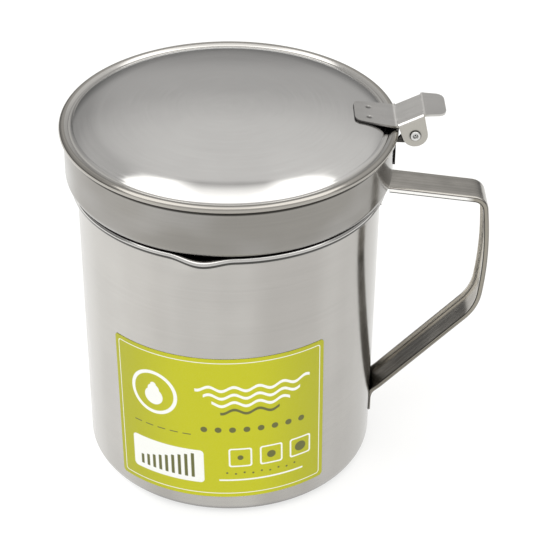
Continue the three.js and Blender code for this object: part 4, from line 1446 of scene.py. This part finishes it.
def bracket_grids():
    """The bracket's face on the collar's side: a curved plate and two arms folded outwards."""
    tab, cup = context_of("hinge"), context_of("strainer")
    radius = cup.collar_radius + TOUCH
    top = LID_SEAT - tab.bracket_drop
    bottom = top - tab.bracket_height
    half, corner, bend = tab.bracket_width / 2, tab.bracket_corner, 0.9 * MM
    arm_low, arm_high = PIN.z - tab.knuckle + 0.3 * MM, top - tab.bracket_corner * 0.3
    below, beside_arm, above, points_each_way = 24, 30, 6, 16
    heights = [bottom + (arm_low - bottom) * i / below for i in range(below + 1)]
    arm_heights = [arm_low + (arm_high - arm_low) * i / beside_arm for i in range(beside_arm + 1)]
    heights += arm_heights
    heights += [arm_high + (top - arm_high) * i / above for i in range(above + 1)]
    root = half - bend
    rows = []
    for i, z in enumerate(heights):
        inset = min(z - bottom, top - z)
        short = corner - inset
        reach = half
        if short > 0:
            reach = half - corner + math.sqrt(max(corner**2 - short**2, 0))
        if below < i <= below + 1 + beside_arm:
            reach = root
        row = []
        for j in range(2 * points_each_way + 1):
            y = reach * (j / points_each_way - 1)
            row.append(Vector((math.sqrt(radius**2 - y**2), y, z)))
        rows.append(row)
    grids = [sheet_grid(rows)]
    for side in (-1, 1):
        flap = []
        for i, z in enumerate(arm_heights):
            part = i / (len(arm_heights) - 1)
            start_x = math.sqrt(radius**2 - root**2)
            row = []
            for k in range(7):
                turn = QUARTER * k / 6
                row.append(Vector((start_x + bend * (1 - math.cos(turn)),
                                   side * (root + bend * math.sin(turn)), z)))
            round_share, last_share = 0.94, 0.06
            around = -QUARTER + (math.pi + QUARTER) * min(part / round_share, 1)
            rim = Vector((PIN.x + tab.knuckle * math.cos(around),
                          PIN.z + tab.knuckle * math.sin(around)))
            if part > round_share:
                rim.y = PIN.z + (arm_high - PIN.z) * (part - round_share) / last_share
            begin = Vector((start_x + bend, z))
            for k in range(1, 11):
                place = begin.lerp(rim, k / 10)
                row.append(Vector((place.x, side * half, place.y)))
            flap.append(row)
        grids.append(sheet_grid(flap))
    return grids


def rivet_outline():
    """Half of the hollow rivet as (radius, distance from the middle)."""
    tab = context_of("hinge")
    ear = tab.ear_width / 2
    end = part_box("hinge_pin")[1].y
    seat = ear + TOUCH
    lip, mouth, mouth_lip = 0.3 * MM, 0.95 * MM, 0.2 * MM
    bore = ((0.78, 0.5), (0.6, 0.8), (0.3, 0.9), (0, 0.9))
    return [
        Vector((0, 0)), Vector((tab.pin, 0)), Vector((tab.pin, seat)),
        Vector((tab.head, seat)),
        *arc((tab.head - lip, end - lip), lip, 0, QUARTER, 6),
        *arc((mouth + mouth_lip, end - mouth_lip), mouth_lip, QUARTER, math.pi, 5),
        *(Vector((radius * MM, end - deep * MM)) for radius, deep in bore),
    ]


class GREASE_OT_hinge(Operator):
    """Builds the lid's tab, the bracket on the collar and the hollow rivet"""

    bl_idname = "grease.hinge"
    bl_label = "Hinge"

    def execute(self, context):
        tab = context_of("hinge")
        above = Vector((0.062, 0, 1))
        strip = folded("tab_strip", tab_grids(), tab.sheet, above, 0.12 * MM)
        installed(strip, "lid", "lid_tab", tab_finish())
        middle = Vector((0, 0, 0.128))
        plate = folded("bracket_plate", bracket_grids(), tab.bracket_sheet, middle, 0.1 * MM)
        installed(plate, "strainer", "hinge_bracket", shaded_bracket_finish())
        half = rivet_outline()
        outline = [*reversed([Vector((p.x, -p.y)) for p in half[1:]]), *half[1:]]
        rivet = turned("rivet", outline, even_turns(48))
        rivet.data.transform(Matrix.Translation(PIN) @ Matrix.Rotation(QUARTER, 4, "X"))
        installed(rivet, "strainer", "hinge_pin", rivet_finish())
        return {"FINISHED"}


# Stage


def make_camera():
    studio = context_of("studio")
    camera = bpy.data.objects.new("camera", bpy.data.cameras.new("camera"))
    bpy.context.scene.collection.objects.link(camera)
    camera.data.sensor_width = 36
    camera.data.lens = studio.lens
    camera.data.clip_start, camera.data.clip_end = 0.05, 50
    camera.matrix_world = (
        Matrix.Translation(studio.place)
        @ Matrix.Rotation(-studio.yaw, 4, "Z")
        @ Matrix.Rotation(QUARTER - studio.pitch, 4, "X")
        @ Matrix.Rotation(studio.roll, 4, "Z")
    )
    bpy.context.scene.camera = camera


def floor_finish():
    """A pale floor that glows a little, more on the left and less far away."""
    studio = context_of("studio")
    material = bpy.data.materials.new("floor")
    tree = emptied(material)
    place = object_place(tree)
    tone = blended(noise(place, 3.0, 2.0), studio.floor,
                   tuple(part * 0.985 for part in studio.floor))
    glow = ranged(xyz(vector("NORMALIZE", place))["X"], -0.95, -0.4, studio.floor_glow + 0.2,
                  studio.floor_glow, True)
    away = ranged(vector("LENGTH", place), 1.0, 3.2, 1, 0.3, True)
    ended(node(tree, "ShaderNodeBsdfPrincipled", {
        "Base Color": tone, "Roughness": 0.8, "Specular IOR Level": 0.1,
        "Emission Color": (1, 1, 0.99, 1), "Emission Strength": times(glow, away),
    }))
    return material


def make_floor():
    half, sunk = 4, 0.2 * MM
    rows = [[Vector((x, y, -sunk)) for x in (-half, 0, half)] for y in (-half, 0, half)]
    floor = piece_of("floor", *sheet_grid(rows))
    floor.data.materials.append(floor_finish())


def make_softbox():
    """A large overhead light that lights the floor and the sticker and shows in no reflection."""
    studio = context_of("studio")
    light = bpy.data.lights.new("softbox", "AREA")
    light.shape = "RECTANGLE"
    light.size, light.size_y = studio.softbox_length, studio.softbox_width
    light.energy = studio.softbox
    softbox = bpy.data.objects.new("softbox", light)
    softbox.location = (0, -0.1, studio.softbox_height)
    softbox.visible_glossy = False
    bpy.context.scene.collection.objects.link(softbox)


def ramped(value, stops):
    """A value that runs through stops of (place from 0 to 1, level)."""
    ramp = node(value.id_data, "ShaderNodeValToRGB", {"Fac": value})
    elements = ramp.color_ramp.elements
    while len(elements) < len(stops):
        elements.new(0.5)
    for element, (position, level) in zip(elements, stops):
        element.position = position
        element.color = (level, level, level, 1)
    parts = node(value.id_data, "ShaderNodeSeparateColor", {"Color": ramp.outputs["Color"]})
    return parts.outputs[0]


def make_sky():
    """Surrounding light: dim at the horizon, pale above, with a broad panel of light overhead."""
    world = bpy.data.worlds.new("studio")
    bpy.context.scene.world = world
    tree = emptied(world)
    x, y, z = xyz(node(tree, "ShaderNodeTexCoord").outputs["Generated"])
    walls = ramped(z, [(0.0, 0.22), (0.1, 0.25), (0.2, 0.34), (0.29, 0.52), (0.42, 0.55),
                       (0.57, 0.77), (0.755, 0.82), (0.785, 0.7), (0.803, 0.42), (0.83, 0.5),
                       (1.0, 0.6)])
    walls = times(walls, ranged(x, -0.3, -0.12, 0.72, 1, True))
    walls = calc("MAXIMUM", walls, ranged(y, -0.1, -0.4, 0, 0.85, True))
    height = calc("MAXIMUM", z, 0.02)
    across = calc("ABSOLUTE", calc("DIVIDE", x, height))
    along = calc("DIVIDE", y, height)
    sides = ranged(plus(across, along), 1.02, 1.06, 1, 0)
    inside = times(times(ranged(along, 0.76, 0.79, 1, 0), sides), ranged(along, -1.0, -0.8))
    middle = ramped(ranged(along, 0.78, 0.0),
                    [(0.0, 0.2), (0.23, 0.5), (0.37, 0.66), (0.6, 0.8), (1.0, 0.95)])
    panel = mixed(ranged(across, 0.1, 0.2, smooth=True), middle, 1.1)
    light = mixed(inside, walls, times(panel, 2.0))
    ended(node(tree, "ShaderNodeBackground", {
        "Color": (1, 0.995, 0.985, 1), "Strength": times(light, context_of("studio").sky),
    }), "ShaderNodeOutputWorld")


class GREASE_OT_stage(Operator):
    """Sets up the camera, the pale floor and the soft light"""

    bl_idname = "grease.stage"
    bl_label = "Camera, floor and light"

    def execute(self, context):
        make_camera()
        make_floor()
        make_softbox()
        make_sky()
        context.scene.view_settings.view_transform = "Standard"
        return {"FINISHED"}


OPERATORS = (GREASE_OT_stage, GREASE_OT_pot, GREASE_OT_handle, GREASE_OT_label,
             GREASE_OT_strainer, GREASE_OT_lid, GREASE_OT_hinge)
SETTINGS = {
    "container_pot": PotSettings,
    "container_strainer": StrainerSettings,
    "container_lid": LidSettings,
    "container_hinge": HingeSettings,
    "container_handle": HandleSettings,
    "container_label": LabelSettings,
    "container_steel": SteelSettings,
    "container_studio": StudioSettings,
}


class GREASE_PT_panel(Panel):
    """Lists the build steps and their settings"""

    bl_idname = "GREASE_PT_panel"
    bl_label = "Grease Container"
    bl_space_type = "VIEW_3D"
    bl_region_type = "UI"
    bl_category = "Grease Container"

    def draw(self, context):
        for operator in OPERATORS:
            self.layout.operator(operator.bl_idname)
        for name, settings in SETTINGS.items():
            box = self.layout.box()
            for key in settings.__annotations__:
                box.prop(getattr(context.scene, name), key)


CLASSES = (*SETTINGS.values(), *OPERATORS, GREASE_PT_panel)


def register():
    for cls in CLASSES:
        bpy.utils.register_class(cls)
    for name, settings in SETTINGS.items():
        setattr(bpy.types.Scene, name, PointerProperty(type=settings))


def unregister():
    for name in SETTINGS:
        delattr(bpy.types.Scene, name)
    for cls in reversed(CLASSES):
        bpy.utils.unregister_class(cls)


def main():
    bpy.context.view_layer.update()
    register()
    for operator in OPERATORS:
        module, name = operator.bl_idname.split(".")
        getattr(getattr(bpy.ops, module), name)()


if __name__ == "__main__":
    main()
